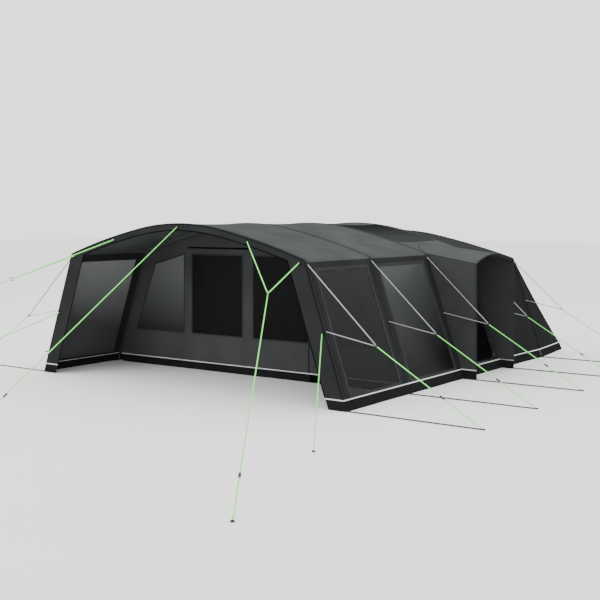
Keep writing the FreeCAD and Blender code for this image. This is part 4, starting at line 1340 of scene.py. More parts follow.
def make_slider(node: str, up: Sequence[float], out: Sequence[float]) -> None:
    """A zip slider: a waisted body, a bridge and a hanging pull.

    Args:
        node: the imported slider, which gives its place and the body's name.
        up: direction of the zip.
        out: direction away from the door.
    """
    low, high = (Vector(corner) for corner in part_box(node))
    middle = (low + high) / 2
    along = Vector(up).normalized()
    away = Vector(out).normalized()
    aside = along.cross(away).normalized()
    base = middle - away * 0.003
    waist = [(-0.0060, -0.012), (-0.0068, -0.004), (-0.0050, 0.006), (-0.0062, 0.014),
             (0.0062, 0.014), (0.0050, 0.006), (0.0068, -0.004), (0.0060, -0.012)]
    levels = [(0.94, 0.0), (1.0, 0.0006), (1.0, 0.0020), (0.9, 0.0026)]
    rings = [[base + (aside * a + along * b) * grow + away * lift for a, b in waist]
             for grow, lift in levels]
    shell = Shell().rings(rings)
    tab = [(-0.0030, 0.006), (-0.0045, -0.012), (-0.0030, -0.016), (0.0030, -0.016),
           (0.0045, -0.012), (0.0030, 0.006)]
    rings = [[base + aside * a * grow + along * b + away * lift for a, b in tab]
             for grow, lift in ((0.9, 0.0030), (1.0, 0.0036), (1.0, 0.0046), (0.85, 0.0052))]
    shell.rings(rings)
    bridge = []
    for step in range(7):
        turn = math.pi * step / 6
        bridge.append(base + along * (0.007 * math.cos(turn) + 0.001)
                      + away * (0.0024 + 0.0030 * math.sin(turn)))
    sides = [aside] * len(bridge)
    ups = [away] * len(bridge)
    shell.sweep(bridge, sides, ups, [(-0.0014, -0.0006), (0.0014, -0.0006), (0.0014, 0.0006),
                                     (-0.0014, 0.0006)])
    settle(shell.build(f"{node}_metal", ZIP), node, [node])


@dataclass
class SideDoor:
    """The door in the porch bay's wall, with a rounded vent low down."""

    form: TentForm
    start: float = 0.210
    width: float = 0.960
    sill: float = 0.140
    head: float = 1.330
    gap: float = 0.002
    vent_edge: float = 0.070
    vent_sill: float = 0.045
    vent_rise: float = 0.480
    vent_radius: float = 0.110

    def opening(self) -> tuple[float, float, float, float]:
        """The doorway's two planes and two heights."""
        y = self.form.hoops[2].y + self.start
        return y, y + self.width, self.sill, self.head

    def build(self) -> None:
        """Make both doors."""
        first, last = self.form.hoops[2], self.form.hoops[3]
        plane = self.form.side_plane(first, last, 0.007)
        y0, y1, z0, z1 = self.opening()
        slope = -first.down.z
        b0, b1 = (z0 + self.gap) / slope, (z1 - self.gap) / slope
        y0, y1 = y0 + 0.0003, y1 - self.gap
        outline = [(y0, b0), (y1, b0), (y1, b1), (y0, b1)]
        v0 = (self.sill + self.vent_sill) / slope
        v1 = v0 + self.vent_rise / slope
        square = [(y0 + self.vent_edge, v0), (y1 - self.vent_edge, v0),
                  (y1 - self.vent_edge, v1), (y0 + self.vent_edge, v1)]
        vent = rounded(square, self.vent_radius, 6)
        cloth = plane.panel(dense(outline, 0.1), [vent], 0.0, 0.0022)
        mesh = plane.panel(vent, [], -0.0008, 0.0010)
        ribs = Shell()
        for step in range(1, 6):
            y = y0 + self.vent_edge + (y1 - y0 - 2 * self.vent_edge) * step / 6
            ribs.merge(plane.strip([(y, v0 + 0.01), (y, v1 - 0.01)], 0.006, 0.0, 0.0012))
        hem = plane.frame(vent, 0.004, 0.018, 0.0002, 0.0022)
        tape = plane.strip([grown(outline, -0.012)[index] for index in (0, 1, 2, 3)],
                           0.016, 0.0003, 0.0018)
        teeth = zip_teeth(plane, [outline[0], outline[1], outline[2], outline[3]], 0.0021)
        guard_line = [(y0 + 0.02, b0 - 0.014), (y1 + 0.014, b0 - 0.014), (y1 + 0.014, b1 + 0.014),
                      (y0 + 0.02, b1 + 0.014)]
        guard = plane.strip(guard_line, 0.012, 0.0028, 0.0016)
        for word, mirror in (("right", False), ("left", True)):
            turn = Shell.mirrored if mirror else (lambda shell: shell)
            door, vent_node = f"side_door_{word}", f"side_door_vent_{word}"
            piece = settle(turn(cloth).build(f"{door}_cloth", REAR), door, [door])
            settle(turn(mesh).build(f"{vent_node}_mesh", MESH_CLOTH), door, [vent_node])
            settle(turn(ribs).build(f"{vent_node}_ribs", SEAM_TAPE), door, [vent_node])
            settle(turn(hem).build(f"{door}_vent_hem", SEAM_TAPE), door, [door])
            settle(turn(tape).build(f"{door}_zip_tape", SEAM_TAPE), door, [door])
            settle(turn(teeth).build(f"{door}_zip_teeth", ZIP), door, [door])
            settle(turn(guard).build(f"{door}_zip_guard", SEAM_TAPE), "tent", ["porch_bay"])
            sign = -1.0 if mirror else 1.0
            make_slider(f"side_door_slider_{word}", (-sign * first.down.x, 0.0, -first.down.z),
                        (sign * first.out.x, 0.0, first.out.z))


@dataclass
class Porch:
    """The hooded side entrance on each side: two walls and a bowed roof."""

    form: TentForm
    reach: float = 2.795
    root: float = 1.600
    corner: Point2 = (1.790, 1.590)
    crown: Point2 = (1.851, 1.714)
    inset: float = 0.035
    cloth: float = 0.003

    def __post_init__(self) -> None:
        """Find the porch's two walls."""
        self.y0 = self.form.hoops[2].y + self.inset
        self.y1 = self.form.hoops[3].y - self.inset
        self.hoop = self.form.hoops[2]

    def along(self, pair: Point2, x: float) -> float:
        """A height that runs straight from the root to the open side."""
        return pair[0] + (pair[1] - pair[0]) * (x - self.root) / (self.reach - self.root)

    def roof_height(self, x: float, y: float) -> float:
        """The bowed roof's height."""
        low, top = self.along(self.corner, x), self.along(self.crown, x)
        half = (self.y1 - self.y0) / 2
        rise = top - low
        radius = (half ** 2 + rise ** 2) / (2 * rise)
        away = min(half, abs(y - (self.y0 + self.y1) / 2))
        return top - radius + math.sqrt(radius ** 2 - away ** 2)

    def inner_x(self, y: float) -> float:
        """Where the porch roof meets the tent's own skin."""
        low, high = 1.2, 2.3
        for _ in range(40):
            middle = (low + high) / 2
            if self.roof_height(middle, y) > self.hoop.height_at(middle) + 0.001:
                high = middle
            else:
                low = middle
        return high

    def roof(self) -> list[list[Vector]]:
        """The bowed roof's threads, from the tent's skin out to the open side."""
        rows = []
        for step in range(17):
            y = self.y0 + (self.y1 - self.y0) * step / 16
            start = self.inner_x(y)
            row = []
            for part in range(11):
                x = start + (self.reach - start) * part / 10
                row.append(Vector((x, y, self.roof_height(x, y))))
            rows.append(row)
        return rows

    def wall(self, y: float) -> list[list[Vector]]:
        """One upright wall's threads, cut to the tent's slope."""
        tip = self.along(self.corner, self.reach)
        top = self.along(self.corner, self.inner_x(self.y0))
        heights = [self.form.skin_low + (tip - self.form.skin_low) * step / 12
                   for step in range(13)]
        heights += [tip + (top - tip) * step / 4 for step in range(1, 5)]
        rows = []
        for z in heights:
            start = self.hoop.wall_x(z)
            end = self.reach
            if z > tip:
                share = (z - self.corner[0]) / (self.corner[1] - self.corner[0])
                end = max(start, self.root + (self.reach - self.root) * share)
            rows.append([Vector((start + (end - start) * part / 6, y, z)) for part in range(7)])
        return rows

    def edge_path(self) -> list[Vector]:
        """The open side's edge, up one wall, over the roof and down the other."""
        path = [Vector((self.reach, self.y0, self.form.skin_low)),
                Vector((self.reach, self.y0, 0.8)),
                Vector((self.reach, self.y0, self.along(self.corner, self.reach)))]
        for step in range(1, 16):
            y = self.y0 + (self.y1 - self.y0) * step / 16
            path.append(Vector((self.reach, y, self.roof_height(self.reach, y))))
        back = [Vector((point.x, self.y1, point.z)) for point in reversed(path[:3])]
        return path + back

    def build(self) -> None:
        """Make both porches with their bindings."""
        roof = self.roof()
        middle = Vector((2.2, (self.y0 + self.y1) / 2, 0.8))
        walls = {"front": self.wall(self.y0), "back": self.wall(self.y1)}
        path = self.edge_path()
        centre = Vector((self.reach, middle.y, 1.0))
        ups = [(point - centre).normalized() for point in path]
        binding = Shell().sweep(path, [Vector((1, 0, 0))] * len(path), ups,
                                [(-0.020, 0.0004), (0.001, 0.0004), (0.002, -0.004),
                                 (0.004, -0.004), (0.004, 0.0026), (-0.020, 0.0026)])
        ridge = []
        for y in (self.y0, self.y1):
            for step in range(9):
                start = self.inner_x(y)
                x = start + (self.reach - start) * step / 8
                ridge.append((y, Vector((x, y, self.roof_height(x, y)))))
        seams = Shell()
        for y in (self.y0, self.y1):
            line = [point for plane, point in ridge if plane == y]
            sides = [Vector((0, 1, 0))] * len(line)
            seams.sweep(line, sides, [Vector((0, 0, 1))] * len(line), circle(0.0034, 6))
        for word, mirror in (("right", False), ("left", True)):
            turn = Shell.mirrored if mirror else (lambda shell: shell)
            inside = Vector((-2.2 if mirror else 2.2, middle.y, 0.8))
            sheets = {f"porch_roof_{word}": (roof, ROOF)}
            sheets |= {f"porch_wall_{place}_{word}": (wall, PORCH) for place, wall in walls.items()}
            for name, (rows, finish) in sheets.items():
                shell = Shell().grid(rows)
                piece = turn(shell).build(name, finish, self.cloth, inside)
                settle(piece, "tent", ["porches"])
            settle(turn(binding).build(f"porch_binding_{word}", HEM), "tent", ["porches"])
            settle(turn(seams).build(f"porch_seams_{word}", HEM), "tent", ["porches"])


def circle(radius: float, steps: int) -> list[Point2]:
    """A round profile."""
    turns = [math.tau * step / steps for step in range(steps)]
    return [(radius * math.cos(turn), radius * math.sin(turn)) for turn in turns]


@dataclass
class Rear:
    """The bay that narrows to the fifth hoop, and the end that slopes to the ground."""

    form: TentForm
    cloth: float = 0.0022
    hollow: float = 0.012
    end_hollow: float = 0.020

    FEET = {Zone.WALL: (1.0, 1.0), Zone.BEND: (1.0, 0.98), Zone.ROOF: (0.98, 0.35),
            Zone.CROWN: (0.35, 0.0)}

    def foot(self, station: Station) -> Vector:
        """The point of the rear ground line that a station's thread runs to."""
        zone, share, side = station
        start, end = self.FEET[zone]
        x = side * self.form.rear_corner * (start + (end - start) * share)
        height = self.form.rear_lip * (share if zone is Zone.WALL else 1.0)
        return Vector((x, self.form.rear_y, height))

    def bay(self) -> None:
        """The bay between the fourth and the fifth hoop: its roof and its two walls."""
        first, last = self.form.hoops[3], self.form.hoops[4]
        start, end = first.y + self.form.edge, last.y - self.form.edge
        parts = {
            "roof": (stations(), REAR_ROOF),
            "wall_right": ([(Zone.WALL, step / 12, 1) for step in range(13)], REAR),
            "wall_left": ([(Zone.WALL, step / 12, -1) for step in range(13)], REAR),
        }
        for word, (line, finish) in parts.items():
            rows = []
            for index, station in enumerate(line):
                row = []
                for step in range(13):
                    share = step / 12
                    y = start + (end - start) * share
                    dip = self.hollow * 4 * share * (1 - share)
                    if word != "roof":
                        dip *= math.sin(math.pi * index / 12)
                    elif station[0] is Zone.BEND and station[1] < 1:
                        dip = 0.0
                    one, two = (hoop.place(station, dip, y) for hoop in (first, last))
                    row.append(one.lerp(two, share))
                rows.append(row)
            shell = Shell().grid(rows)
            piece = shell.build(f"rear_bay_{word}", finish, self.cloth)
            settle(piece, "tent", ["rear_bay"])

    def threads(self, line: Sequence[Station], low: float, high: float, steps: int,
                hollow: float = 0.0) -> list[list[Vector]]:
        """Straight threads from hoop 5 to the ground line, cut between two heights.

        Args:
            line: the stations that they start from.
            low: lower height.
            high: upper height.
            steps: parts of each thread.
            hollow: how far the cloth draws in halfway.

        Returns:
            One row of points for each thread.
        """
        hoop = self.form.hoops[4]
        rows = []
        for station in line:
            top = hoop.place(station, 0.0, hoop.y + self.form.edge)
            bottom = self.foot(station)
            fall = top.z - bottom.z
            start = min(1.0, max(0.0, (top.z - high) / fall))
            end = min(1.0, max(0.0, (top.z - low) / fall))
            normal = hoop.outward(station)
            row = []
            for step in range(steps + 1):
                share = start + (end - start) * step / steps
                dip = hollow * 4 * share * (1 - share)
                row.append(top.lerp(bottom, share) - normal * dip)
            rows.append(row)
        return rows

    def build(self) -> None:
        """Make the bay and the end, with a seam tape down each corner."""
        self.bay()
        line = stations([step / 12 for step in range(13)])
        rows = self.threads(line, self.form.skin_low, 9.0, 14, self.end_hollow)
        shell = Shell().grid(rows)
        piece = shell.build("rear_end_cloth", REAR, self.cloth)
        settle(piece, "tent", ["rear_end"])
        hoop = self.form.hoops[4]
        tapes = Shell()
        for side in (1, -1):
            path = self.threads([(Zone.BEND, 0.5, side)], self.form.skin_low, 9.0, 14,
                                self.end_hollow)[0]
            up = hoop.outward((Zone.BEND, 0.5, side))
            ups = [up] * len(path)
            aside = [(path[-1] - path[0]).normalized().cross(up).normalized()] * len(path)
            tapes.sweep(path, aside, ups, [(-0.008, 0.0003), (0.008, 0.0003), (0.007, 0.0022),
                                           (-0.007, 0.0022)])
        settle(tapes.build("rear_end_tape", SEAM_TAPE), "tent", ["rear_end"])


@dataclass
class Skirt:
    """The mud flap along the ground and the pale piping above it."""

    form: TentForm
    flap: float = 0.0022
    ripple: float = 0.0035
    piping: float = 0.0080
    below_door: float = 0.0070

    def strip(self, name: str, tops: Sequence[Vector], bottoms: Sequence[Vector],
              inside: Vector | None, finish: Cloth | None = None) -> None:
        """One strip of the flap, its lower edge rippled.

        Args:
            name: the piece's name.
            tops: points of the upper edge.
            bottoms: points of the lower edge.
            inside: a point that the strip faces away from.
            finish: the strip's finish if it isn't the usual one.
        """
        count = 40
        upper, lower = spaced(tops, count), spaced(bottoms, count)
        draw = random.Random(len(name))
        phase = draw.uniform(0, math.tau)
        rows = []
        for share in (0.0, 0.5, 1.0):
            row = []
            for index in range(count + 1):
                wave = math.sin(index * 1.3 + phase) + 0.5 * math.sin(index * 0.47 + 2 * phase)
                point = upper[index].lerp(lower[index], share)
                way = upper[min(index + 1, count)] - upper[max(index - 1, 0)]
                aside = Vector((way.y, -way.x, 0.0)).normalized()
                row.append(point + aside * wave * self.ripple * share * 0.6)
            rows.append(row)
        shell = Shell().grid(rows)
        piece = shell.build(name, finish or FLAP, self.flap, inside)
        settle(piece, "tent", ["mud_flap"])

    def piped(self, name: str, path: Sequence[Vector]) -> None:
        """Pale piping along a path."""
        points = spaced(path, 60)
        ways = [points[min(i + 1, 60)] - points[max(i - 1, 0)] for i in range(61)]
        sides = [Vector((way.y, -way.x, 0.0)).normalized() for way in ways]
        ups = [side.cross(way).normalized() for side, way in zip(sides, ways)]
        tube = Shell().sweep(points, sides, ups, circle(self.piping, 10))
        settle(tube.build(name, PIPING), "tent", ["mud_flap"])

    def build(self, front: FrontWall, porch: Porch) -> None:
        """Make every strip of the flap and its piping.

        Args:
            front: the front wall, for its door.
            porch: the side porch, for its walls.
        """
        form = self.form
        hoop, hoop4, hoop5 = form.hoops[0], form.hoops[3], form.hoops[4]
        low = form.skin_low
        band_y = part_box("front_band")[0][1]
        rear = Rear(form)
        for side, word in ((1, "right"), (-1, "left")):
            def on_wall(item: Hoop, y: float, z: float) -> Vector:
                return Vector((side * item.wall_x(z), y, z))

            stops = [(hoop, band_y + 0.006), (hoop4, hoop4.y), (hoop5, hoop5.y)]
            tops = [on_wall(item, y, low) for item, y in stops]
            bottoms = [on_wall(item, y, 0.001) for item, y in stops]
            corner = rear.threads([(Zone.BEND, 0.0, side)], 0.027, low, 1)[0]
            tops.append(corner[0])
            bottoms.append(Vector((corner[1].x, corner[1].y, 0.001)))
            self.strip(f"mud_flap_side_{word}", tops, bottoms, None)
            lift = Vector((side * 0.004, 0.0, 0.0))
            self.piped(f"piping_side_{word}", [point + lift for point in tops])
            band = FrontBand(form)
            foot = band.inner_line()[0]
            inner = foot[0] + (hoop.wall_x(0.0) - hoop.wall_x(low))
            y = band_y + 0.003
            tops = [Vector((side * foot[0], y, low)), Vector((side * hoop.wall_x(low), y, low))]
            bottoms = [Vector((side * inner, y, 0.001)),
                       Vector((side * hoop.wall_x(0.001), y, 0.001))]
            self.strip(f"mud_flap_front_{word}", tops, bottoms, Vector((0, 0, 0.1)))
            self.piped(f"piping_front_{word}", [point - Vector((0, 0.004, 0)) for point in tops])
            for place, plane in (("front", porch.y0), ("back", porch.y1)):
                tops = [Vector((side * hoop.wall_x(low), plane, low)),
                        Vector((side * porch.reach, plane, low))]
                bottoms = [Vector((side * hoop.wall_x(0.001), plane, 0.001)),
                           Vector((side * porch.reach, plane, 0.001))]
                inside = Vector((side * 2.2, (porch.y0 + porch.y1) / 2, 0.1))
                self.strip(f"mud_flap_porch_{place}_{word}", tops, bottoms, inside)
                push = Vector((0, -0.004 if place == "front" else 0.004, 0))
                self.piped(f"piping_porch_{place}_{word}", [point + push for point in tops])
        line = [(Zone.BEND, 0.0, 1), (Zone.ROOF, 0.5, 1), (Zone.CROWN, 1.0, 1),
                (Zone.ROOF, 0.5, -1), (Zone.BEND, 0.0, -1)]
        rows = rear.threads(line, 0.027, low, 1)
        tops = [row[0] for row in rows]
        bottoms = [Vector((row[1].x, row[1].y, 0.001)) for row in rows]
        self.strip("mud_flap_rear", tops, bottoms, Vector((0, 0, 0.1)))
        self.piped("piping_rear", [point + Vector((0, 0.004, 0.002)) for point in tops])
        self.front_wall(front, low)

    def front_wall(self, front: FrontWall, low: float) -> None:
        """The strip under the front wall, near black below the door."""
        hoop = self.form.hoops[1]
        half = hoop.wall_x(low) - 0.062
        y = hoop.y
        cuts = [(-half, front.hinge, "wall", None), (front.hinge, half, "door", SEAM_TAPE)]
        for start, end, word, finish in cuts:
            tops = [Vector((start, y, low)), Vector((end, y, low))]
            bottoms = [Vector((start, y, 0.001)), Vector((end, y, 0.001))]
            self.strip(f"mud_flap_{word}", tops, bottoms, Vector((0, 3.0, 0.1)), finish)
        under = low - self.below_door
        self.piped("piping_wall", [Vector((-half, y - 0.005, under)),
                                   Vector((half, y - 0.005, under))])


def spaced(path: Sequence[Vector], count: int) -> list[Vector]:
    """A path as evenly spaced points.

    Args:
        path: its corners.
        count: how many parts.

    Returns:
        count + 1 points.
    """
    long = [0.0]
    for one, two in zip(path, path[1:]):
        long.append(long[-1] + (two - one).length)
    result = []
    for step in range(count + 1):
        want = long[-1] * step / count
        index = max(i for i in range(len(path) - 1) if long[i] <= want + 1e-9)
        share = (want - long[index]) / max(1e-9, long[index + 1] - long[index])
        result.append(path[index].lerp(path[index + 1], min(1.0, share)))
    return result


@dataclass
class Groundsheet:
    """The sewn-in floor: a shallow tray of coated sheet with slow wrinkles."""

    thickness: float = 0.002
    wall: float = 0.100

    def build(self) -> None:
        """Make the floor and its upturned edge in one sheet."""
        low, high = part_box("groundsheet")
        draw = random.Random(7)
        waves = [(draw.uniform(1.0, 4.0), draw.uniform(1.0, 4.0), draw.uniform(0, math.tau))
                 for _ in range(6)]
        rim = 0.012
        xs = [low[0] + 0.001, low[0] + rim, low[0] + 2.5 * rim]
        xs += [low[0] + 0.1 + (high[0] - low[0] - 0.2) * step / 36 for step in range(37)]
        xs += [high[0] - 2.5 * rim, high[0] - rim, high[0] - 0.001]
        ys = [low[1] + 0.001, low[1] + rim, low[1] + 2.5 * rim]
        ys += [low[1] + 0.1 + (high[1] - low[1] - 0.2) * step / 36 for step in range(37)]
        ys += [high[1] - 2.5 * rim, high[1] - rim, high[1] - 0.001]
        rows = []
        for x in xs:
            row = []
            for y in ys:
                edge = min(x - low[0], high[0] - x, y - low[1], high[1] - y)
                if edge < 0.006:
                    z = self.wall - 0.002
                elif edge < 0.02:
                    z = 0.008
                else:
                    wave = sum(math.sin(a * x + b * y + c) for a, b, c in waves) / 6
                    z = 0.006 + 0.002 * wave
                row.append(Vector((x, y, z)))
            rows.append(row)
        piece = Shell().grid(rows).build("groundsheet_tray", SHEET, self.thickness,
                                         Vector((0, 0, -50.0)))
        settle(piece, "tent", ["groundsheet"])


# ------------------------------------------------------------------------------ guy lines


class Route:
    """A cord's line: a smooth spline through given points."""

    def __init__(self, name: str, points: Sequence[Sequence[float]]) -> None:
        """Make the curve.

        Args:
            name: the curve's name.
            points: its control points.
        """
        data = bpy.data.curves.new(name, "CURVE")
        data.dimensions = "3D"
        data.resolution_u = 16
        spline = data.splines.new("NURBS")
        spline.points.add(len(points) - 1)
        for target, point in zip(spline.points, points):
            target.co = (*point, 1.0)
        spline.order_u = 3
        spline.use_endpoint_u = True
        self.piece = bpy.data.objects.new(name, data)
        bpy.context.scene.collection.objects.link(self.piece)

    def line(self) -> list[Vector]:
        """The spline's own points, read from a mesh that is removed afterwards."""
        graph = bpy.context.evaluated_depsgraph_get()
        mesh = bpy.data.meshes.new_from_object(self.piece.evaluated_get(graph))
        points = [vertex.co.copy() for vertex in mesh.vertices]
        bpy.data.meshes.remove(mesh)
        return points

    def round(self, radius: float, finish: Braid) -> bpy.types.Object:
        """Give the curve a round section and its finish."""
        self.piece.data.bevel_depth = radius
        self.piece.data.bevel_resolution = 4
        self.piece.data.use_fill_caps = True
        self.piece.data.materials.append(finish.material())
        return self.piece

    def webbing(self, width: float, rise: float, across: Vector, finish: Braid
                ) -> tuple[bpy.types.Object, list[Vector]]:
        """Turn the route into flat webbing.

        Args:
            width: the webbing's width.
            rise: its thickness.
            across: the direction of its width.
            finish: its finish.

        Returns:
            The webbing, and the points that it follows.
        """
        points = self.line()
        name = self.piece.name
        data = self.piece.data
        bpy.data.objects.remove(self.piece)
        bpy.data.curves.remove(data)
        half, thin = width / 2, rise / 2
        profile = [(-half, -thin * 0.4), (-half * 0.92, -thin), (half * 0.92, -thin),
                   (half, -thin * 0.4), (half, thin * 0.4), (half * 0.92, thin),
                   (-half * 0.92, thin), (-half, thin * 0.4)]
        last = len(points) - 1
        sides, ups = [], []
        for index in range(last + 1):
            way = (points[min(index + 1, last)] - points[max(index - 1, 0)]).normalized()
            side = (across - way * across.dot(way)).normalized()
            sides.append(side)
            ups.append(way.cross(side))
        piece = Shell().sweep(points, sides, ups, profile).build(name, finish)
        return piece, points


@dataclass
class GuyLines:
    """Bridles, guy lines, ground straps, runners, eyelets and sewn patches."""

    form: TentForm
    web: float = 0.014
    web_rise: float = 0.008
    guy: float = 0.012
    sag: float = 0.0015

    # each route as (x, z): upper seat, the two corners round the ring's bar, lower seat
    MAIN_BRIDLE = [(2.0458, 1.6676), (2.9759, 0.7957), (2.9685, 0.7808), (2.3095, 0.8970)]
    REAR_BRIDLE = [(2.1747, 1.5160), (2.9760, 0.7958), (2.9685, 0.7806), (2.3731, 0.8970)]
    SIDE_LINE = [(2.9999, 0.7708), (4.2852, 0.0070)]
    # the front ones in full, right-hand side
    FRONT_BRIDLE = [(1.1600, -3.4176, 1.9287), (2.1641, -4.3128, 1.4019),
                    (2.1781, -4.3035, 1.4000), (1.9500, -3.4176, 1.6900)]
    FRONT_TAIL = [(2.1884, -4.3333, 1.3891), (4.1848, -7.3459, 0.0070)]
    CENTRE_LINE = [(0.0, -3.4171, 2.1040), (0.0, -6.5724, 0.0070)]
    LOW_LINE = [(2.2743, -3.4171, 0.8700), (3.4111, -5.2107, 0.0070)]

    def folded(self, route: Sequence[Vector]) -> list[Vector]:
        """A bridle's route with a point near and a point further from each corner."""
        upper, first, second, lower = route
        near = (second - first).length
        far = 6 * self.web
        up, down = (upper - first).normalized(), (lower - second).normalized()
        return [upper, first + up * far, first + up * near, first, second,
                second + down * near, second + down * far, lower]

    def bridle(self, name: str, route: Sequence[Vector], across: Vector, node: str,
               finish: Braid) -> None:
        """One webbing bridle from seat to seat round its ring."""
        points = self.folded(route)
        piece, line = Route(name, points).webbing(self.web, self.web_rise, across, finish)
        settle(piece, "tent", [node])

    def line(self, name: str, start: Vector, end: Vector, node: str) -> None:
        """One taut guy line with a hair of sag."""
        middle = (start + end) / 2 - Vector((0, 0, self.sag))
        piece = Route(name, [start, middle, end]).round(self.guy / 2, GUY)
        settle(piece, "tent", [node])

    def strap(self, name: str, start: Vector, end: Vector, node: str) -> None:
        """One black cord, laid on the ground beside its guy line."""
        middle = (start + end) / 2 + Vector((0, 0.0015, 0))
        piece = Route(name, [start, middle, end]).round(self.web / 2, BLACK_WEB)
        settle(piece, "tent", [node])

    def build(self) -> None:
        """Make every line, then what is on them."""
        for side, word in ((1, "right"), (-1, "left")):
            for number, hoop in enumerate(self.form.hoops, start=1):
                flat = self.REAR_BRIDLE if number == 5 else self.MAIN_BRIDLE
                route = [Vector((side * x, hoop.y, z)) for x, z in flat]
                self.bridle(f"side_bridle_{word}_{number}", route, Vector((0, 1, 0)),
                            f"side_bridles_{word}", GREY_WEB)
                start, end = (Vector((side * x, hoop.y, z)) for x, z in self.SIDE_LINE)
                self.line(f"side_line_{word}_{number}", start, end, f"side_lines_{word}")
                y = hoop.y - self.web
                first = Vector((side * (hoop.wall_x(0.0) + 0.0003), y, self.web / 2))
                last = Vector((side * 4.2838, y, self.web / 2))
                self.strap(f"ground_strap_{word}_{number}", first, last,
                           f"ground_straps_{word}")
            route = [Vector((side * x, y, z)) for x, y, z in self.FRONT_BRIDLE]
            across = (route[0] - route[1]).cross(route[3] - route[2]).normalized()
            self.bridle(f"front_bridle_{word}", route, across, "front_bridles", GUY)
            start, end = (Vector((side * x, y, z)) for x, y, z in self.FRONT_TAIL)
            self.line(f"front_tail_{word}", start, end, "front_lines")
            start, end = (Vector((side * x, y, z)) for x, y, z in self.LOW_LINE)
            self.line(f"low_line_{word}", start, end, "front_lines")
        start, end = (Vector(point) for point in self.CENTRE_LINE)
        self.line("centre_line", start, end, "front_lines")
        self.runners()
        self.eyelets()
        self.patches()

    def runners(self) -> None:
        """A moulded tensioner on each line that has one."""
        tails = {f"runner_{word}_{number}": [Vector((side * x, hoop.y, z))
                                             for x, z in self.SIDE_LINE]
                 for side, word in ((1, "right"), (-1, "left"))
                 for number, hoop in enumerate(self.form.hoops, start=1)}
        for side, word in ((1, "right"), (-1, "left")):
            tails[f"runner_front_{word}"] = [Vector((side * x, y, z))
                                             for x, y, z in self.FRONT_TAIL]
        tails["runner_front_centre"] = [Vector(point) for point in self.CENTRE_LINE]
        for node, (start, end) in tails.items():
            low, high = (Vector(corner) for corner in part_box(node))
            middle = (low + high) / 2
            way = (start - end).normalized()
            middle = end + way * (middle - end).dot(way)
            side = way.cross(Vector((0, 0, 1))).normalized()
            up = side.cross(way)
            shell = Shell()
            rings = []
            for place, wide, tall in ((-0.030, 0.006, 0.0070), (-0.027, 0.009, 0.0080),
                                      (-0.018, 0.0105, 0.0085), (-0.006, 0.0085, 0.0080),
                                      (0.006, 0.0085, 0.0080), (0.018, 0.0105, 0.0085),
                                      (0.027, 0.009, 0.0080), (0.030, 0.006, 0.0070)):
                rings.append([middle + way * place + side * a * wide + up * b * tall
                              for a, b in ((-1, -0.6), (-0.6, -1), (0.6, -1), (1, -0.6),
                                           (1, 0.6), (0.6, 1), (-0.6, 1), (-1, 0.6))])
            shell.rings(rings)
            for place in (-0.012, 0.012):
                ring = [middle + way * (place + 0.0015 * a) + side * 0.0109 * b + up * 0.0092 * c
                        for a, b, c in ((-1, -1, -1), (-1, 1, -1), (-1, 1, 1), (-1, -1, 1))]
                other = [point + way * 0.003 for point in ring]
                shell.rings([ring, other])
            settle(shell.build(f"{node}_moulding", BLACK), node, [node])

    def eyelets(self) -> None:
        """The ring on the ground at each peg, turned with a rounded rim."""
        record = frame["record"]
        pegs = [mount["pos_m"] for mount in record["mounts"] if mount["kind"] == "bore"]
        section = [(0.008, 0.0), (0.015, 0.0), (0.016, 0.001), (0.016, 0.010), (0.0145, 0.0135),
                   (0.0115, 0.014), (0.0085, 0.0125), (0.008, 0.011)]
        shell = Shell()
        for x, y, _ in pegs:
            rings = []
            for step in range(20):
                turn = math.tau * step / 20
                rings.append([Vector((x + r * math.cos(turn), y + r * math.sin(turn), z))
                              for r, z in section])
            shell.rings(rings, around=True)
        settle(shell.build("peg_eyelet_rings", BLACK), "tent", ["peg_eyelets"])

    def patches(self) -> None:
        """A sewn triangle under each seat, with a turned edge and stitches."""
        shell, thread = Shell(), Shell()
        for hoop in self.form.hoops:
            flat = self.REAR_BRIDLE if hoop is self.form.hoops[4] else self.MAIN_BRIDLE
            for index, drop in ((0, 0.0352), (3, 0.0)):
                x, z = flat[index]
                seat = Vector((x, hoop.y, z)) + hoop.down * drop - hoop.out * 0.0041
                plane = Plane(seat, Vector((0, 1, 0)), -hoop.down, hoop.out)
                one, two = self.triangle(plane)
                for part, target in ((one, shell), (two, thread)):
                    target.merge(part)
                    target.merge(part.mirrored())
        ahead = Vector((0, -1, 0))
        seats = [self.FRONT_BRIDLE[0], self.FRONT_BRIDLE[3], self.LOW_LINE[0]]
        for x, y, z in seats:
            plane = Plane(Vector((x, y + 0.0038, z)), Vector((1, 0, 0)), Vector((0, 0, 1)), ahead)
            one, two = self.triangle(plane)
            for part, target in ((one, shell), (two, thread)):
                target.merge(part)
                target.merge(part.mirrored())
        x, y, z = self.CENTRE_LINE[0]
        plane = Plane(Vector((x, y + 0.0036, z)), Vector((1, 0, 0)), Vector((0, 0, 1)), ahead)
        one, two = self.triangle(plane)
        shell.merge(one)
        thread.merge(two)
        settle(shell.build("guy_patch_cloth", PATCH), "tent", ["guy_patches"])
        settle(thread.build("guy_patch_stitches", THREAD), "tent", ["guy_patches"])

    def triangle(self, plane: Plane) -> tuple[Shell, Shell]:
        """One patch and its stitches, its point up."""
        corners = [(0.0, 0.0352), (-0.032, -0.0288), (0.032, -0.0288)]
        edge = rounded(corners, 0.006, 3)
        rings = [[plane.at(*point, lift) for point in grown(edge, grow)]
                 for grow, lift in ((0.0, -0.0030), (0.0, -0.0008), (-0.002, 0.0))]
        cloth = Shell().rings(rings)
        thread = plane.stitches(grown(corners, -0.007), 0.0001, 0.006)
        return cloth, thread


# ------------------------------------------------------------------------------ studio


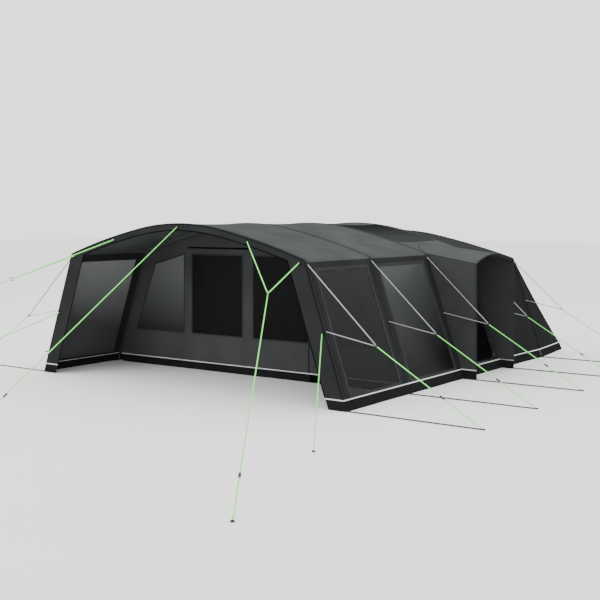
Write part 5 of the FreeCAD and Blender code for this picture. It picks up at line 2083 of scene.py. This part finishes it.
@dataclass
class Studio:
    """A pale floor, soft light and the camera."""

    place: tuple[float, float, float] = (8.829, -12.956, 2.199)
    heading: float = 0.624
    lens: float = 59.83
    shift: float = -0.134

    def build(self) -> None:
        """Make the floor, the lights and the camera."""
        bpy.ops.mesh.primitive_plane_add(size=160, location=(0, 0, -0.0005))
        floor = bpy.context.object
        floor.name = "floor"
        graph = Graph("pale_floor")
        tone = graph.blend(graph.noise(0.6), (0.86, 0.86, 0.86), (0.9, 0.9, 0.9))
        graph.join(tone, graph.shader.inputs["Base Color"])
        graph.shader.inputs["Roughness"].default_value = 0.9
        graph.shader.inputs["Specular IOR Level"].default_value = 0.0
        floor.data.materials.append(graph.material)
        world = bpy.data.worlds.new("studio")
        bpy.context.scene.world = world
        world.use_nodes = True
        sky = world.node_tree.nodes["Background"]
        sky.inputs["Color"].default_value = (1.0, 1.0, 1.0, 1.0)
        sky.inputs["Strength"].default_value = 2.0
        self.lamp("key", (-6.0, -14.0, 9.0), (0.0, -1.0, 0.8), 10.0, 700.0)
        self.lamp("top", (0.0, 1.0, 12.0), (0.0, 0.5, 0.0), 14.0, 350.0)
        data = bpy.data.cameras.new("camera")
        camera = bpy.data.objects.new("camera", data)
        bpy.context.scene.collection.objects.link(camera)
        camera.location = self.place
        camera.rotation_euler = (math.pi / 2, 0.0, self.heading)
        data.lens = self.lens
        data.sensor_width = 36.0
        data.shift_y = self.shift
        data.clip_end = 400.0
        bpy.context.scene.camera = camera

    def lamp(self, name: str, place: Sequence[float], target: Sequence[float], size: float,
             power: float) -> None:
        """One large soft lamp aimed at a point."""
        data = bpy.data.lights.new(name, "AREA")
        data.size = size
        data.energy = power
        item = bpy.data.objects.new(name, data)
        item.location = place
        aim = Vector(target) - Vector(place)
        item.rotation_euler = aim.to_track_quat("-Z", "Y").to_euler()
        bpy.context.scene.collection.objects.link(item)


def main() -> None:
    """Build the studio and every piece of the tent, in order."""
    logging.basicConfig(level=logging.INFO, format="%(name)s: %(message)s")
    Studio().build()
    form = TentForm()
    GuyLines(form).build()
    Bays(form).build()
    Sleeves(form).build()
    FrontBand(form).build()
    front = FrontWall(form)
    front.build()
    SideDoor(form).build()
    porch = Porch(form)
    porch.build()
    Rear(form).build()
    Skirt(form).build(front, porch)
    Groundsheet().build()
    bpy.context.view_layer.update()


if __name__ == "__main__":
    main()
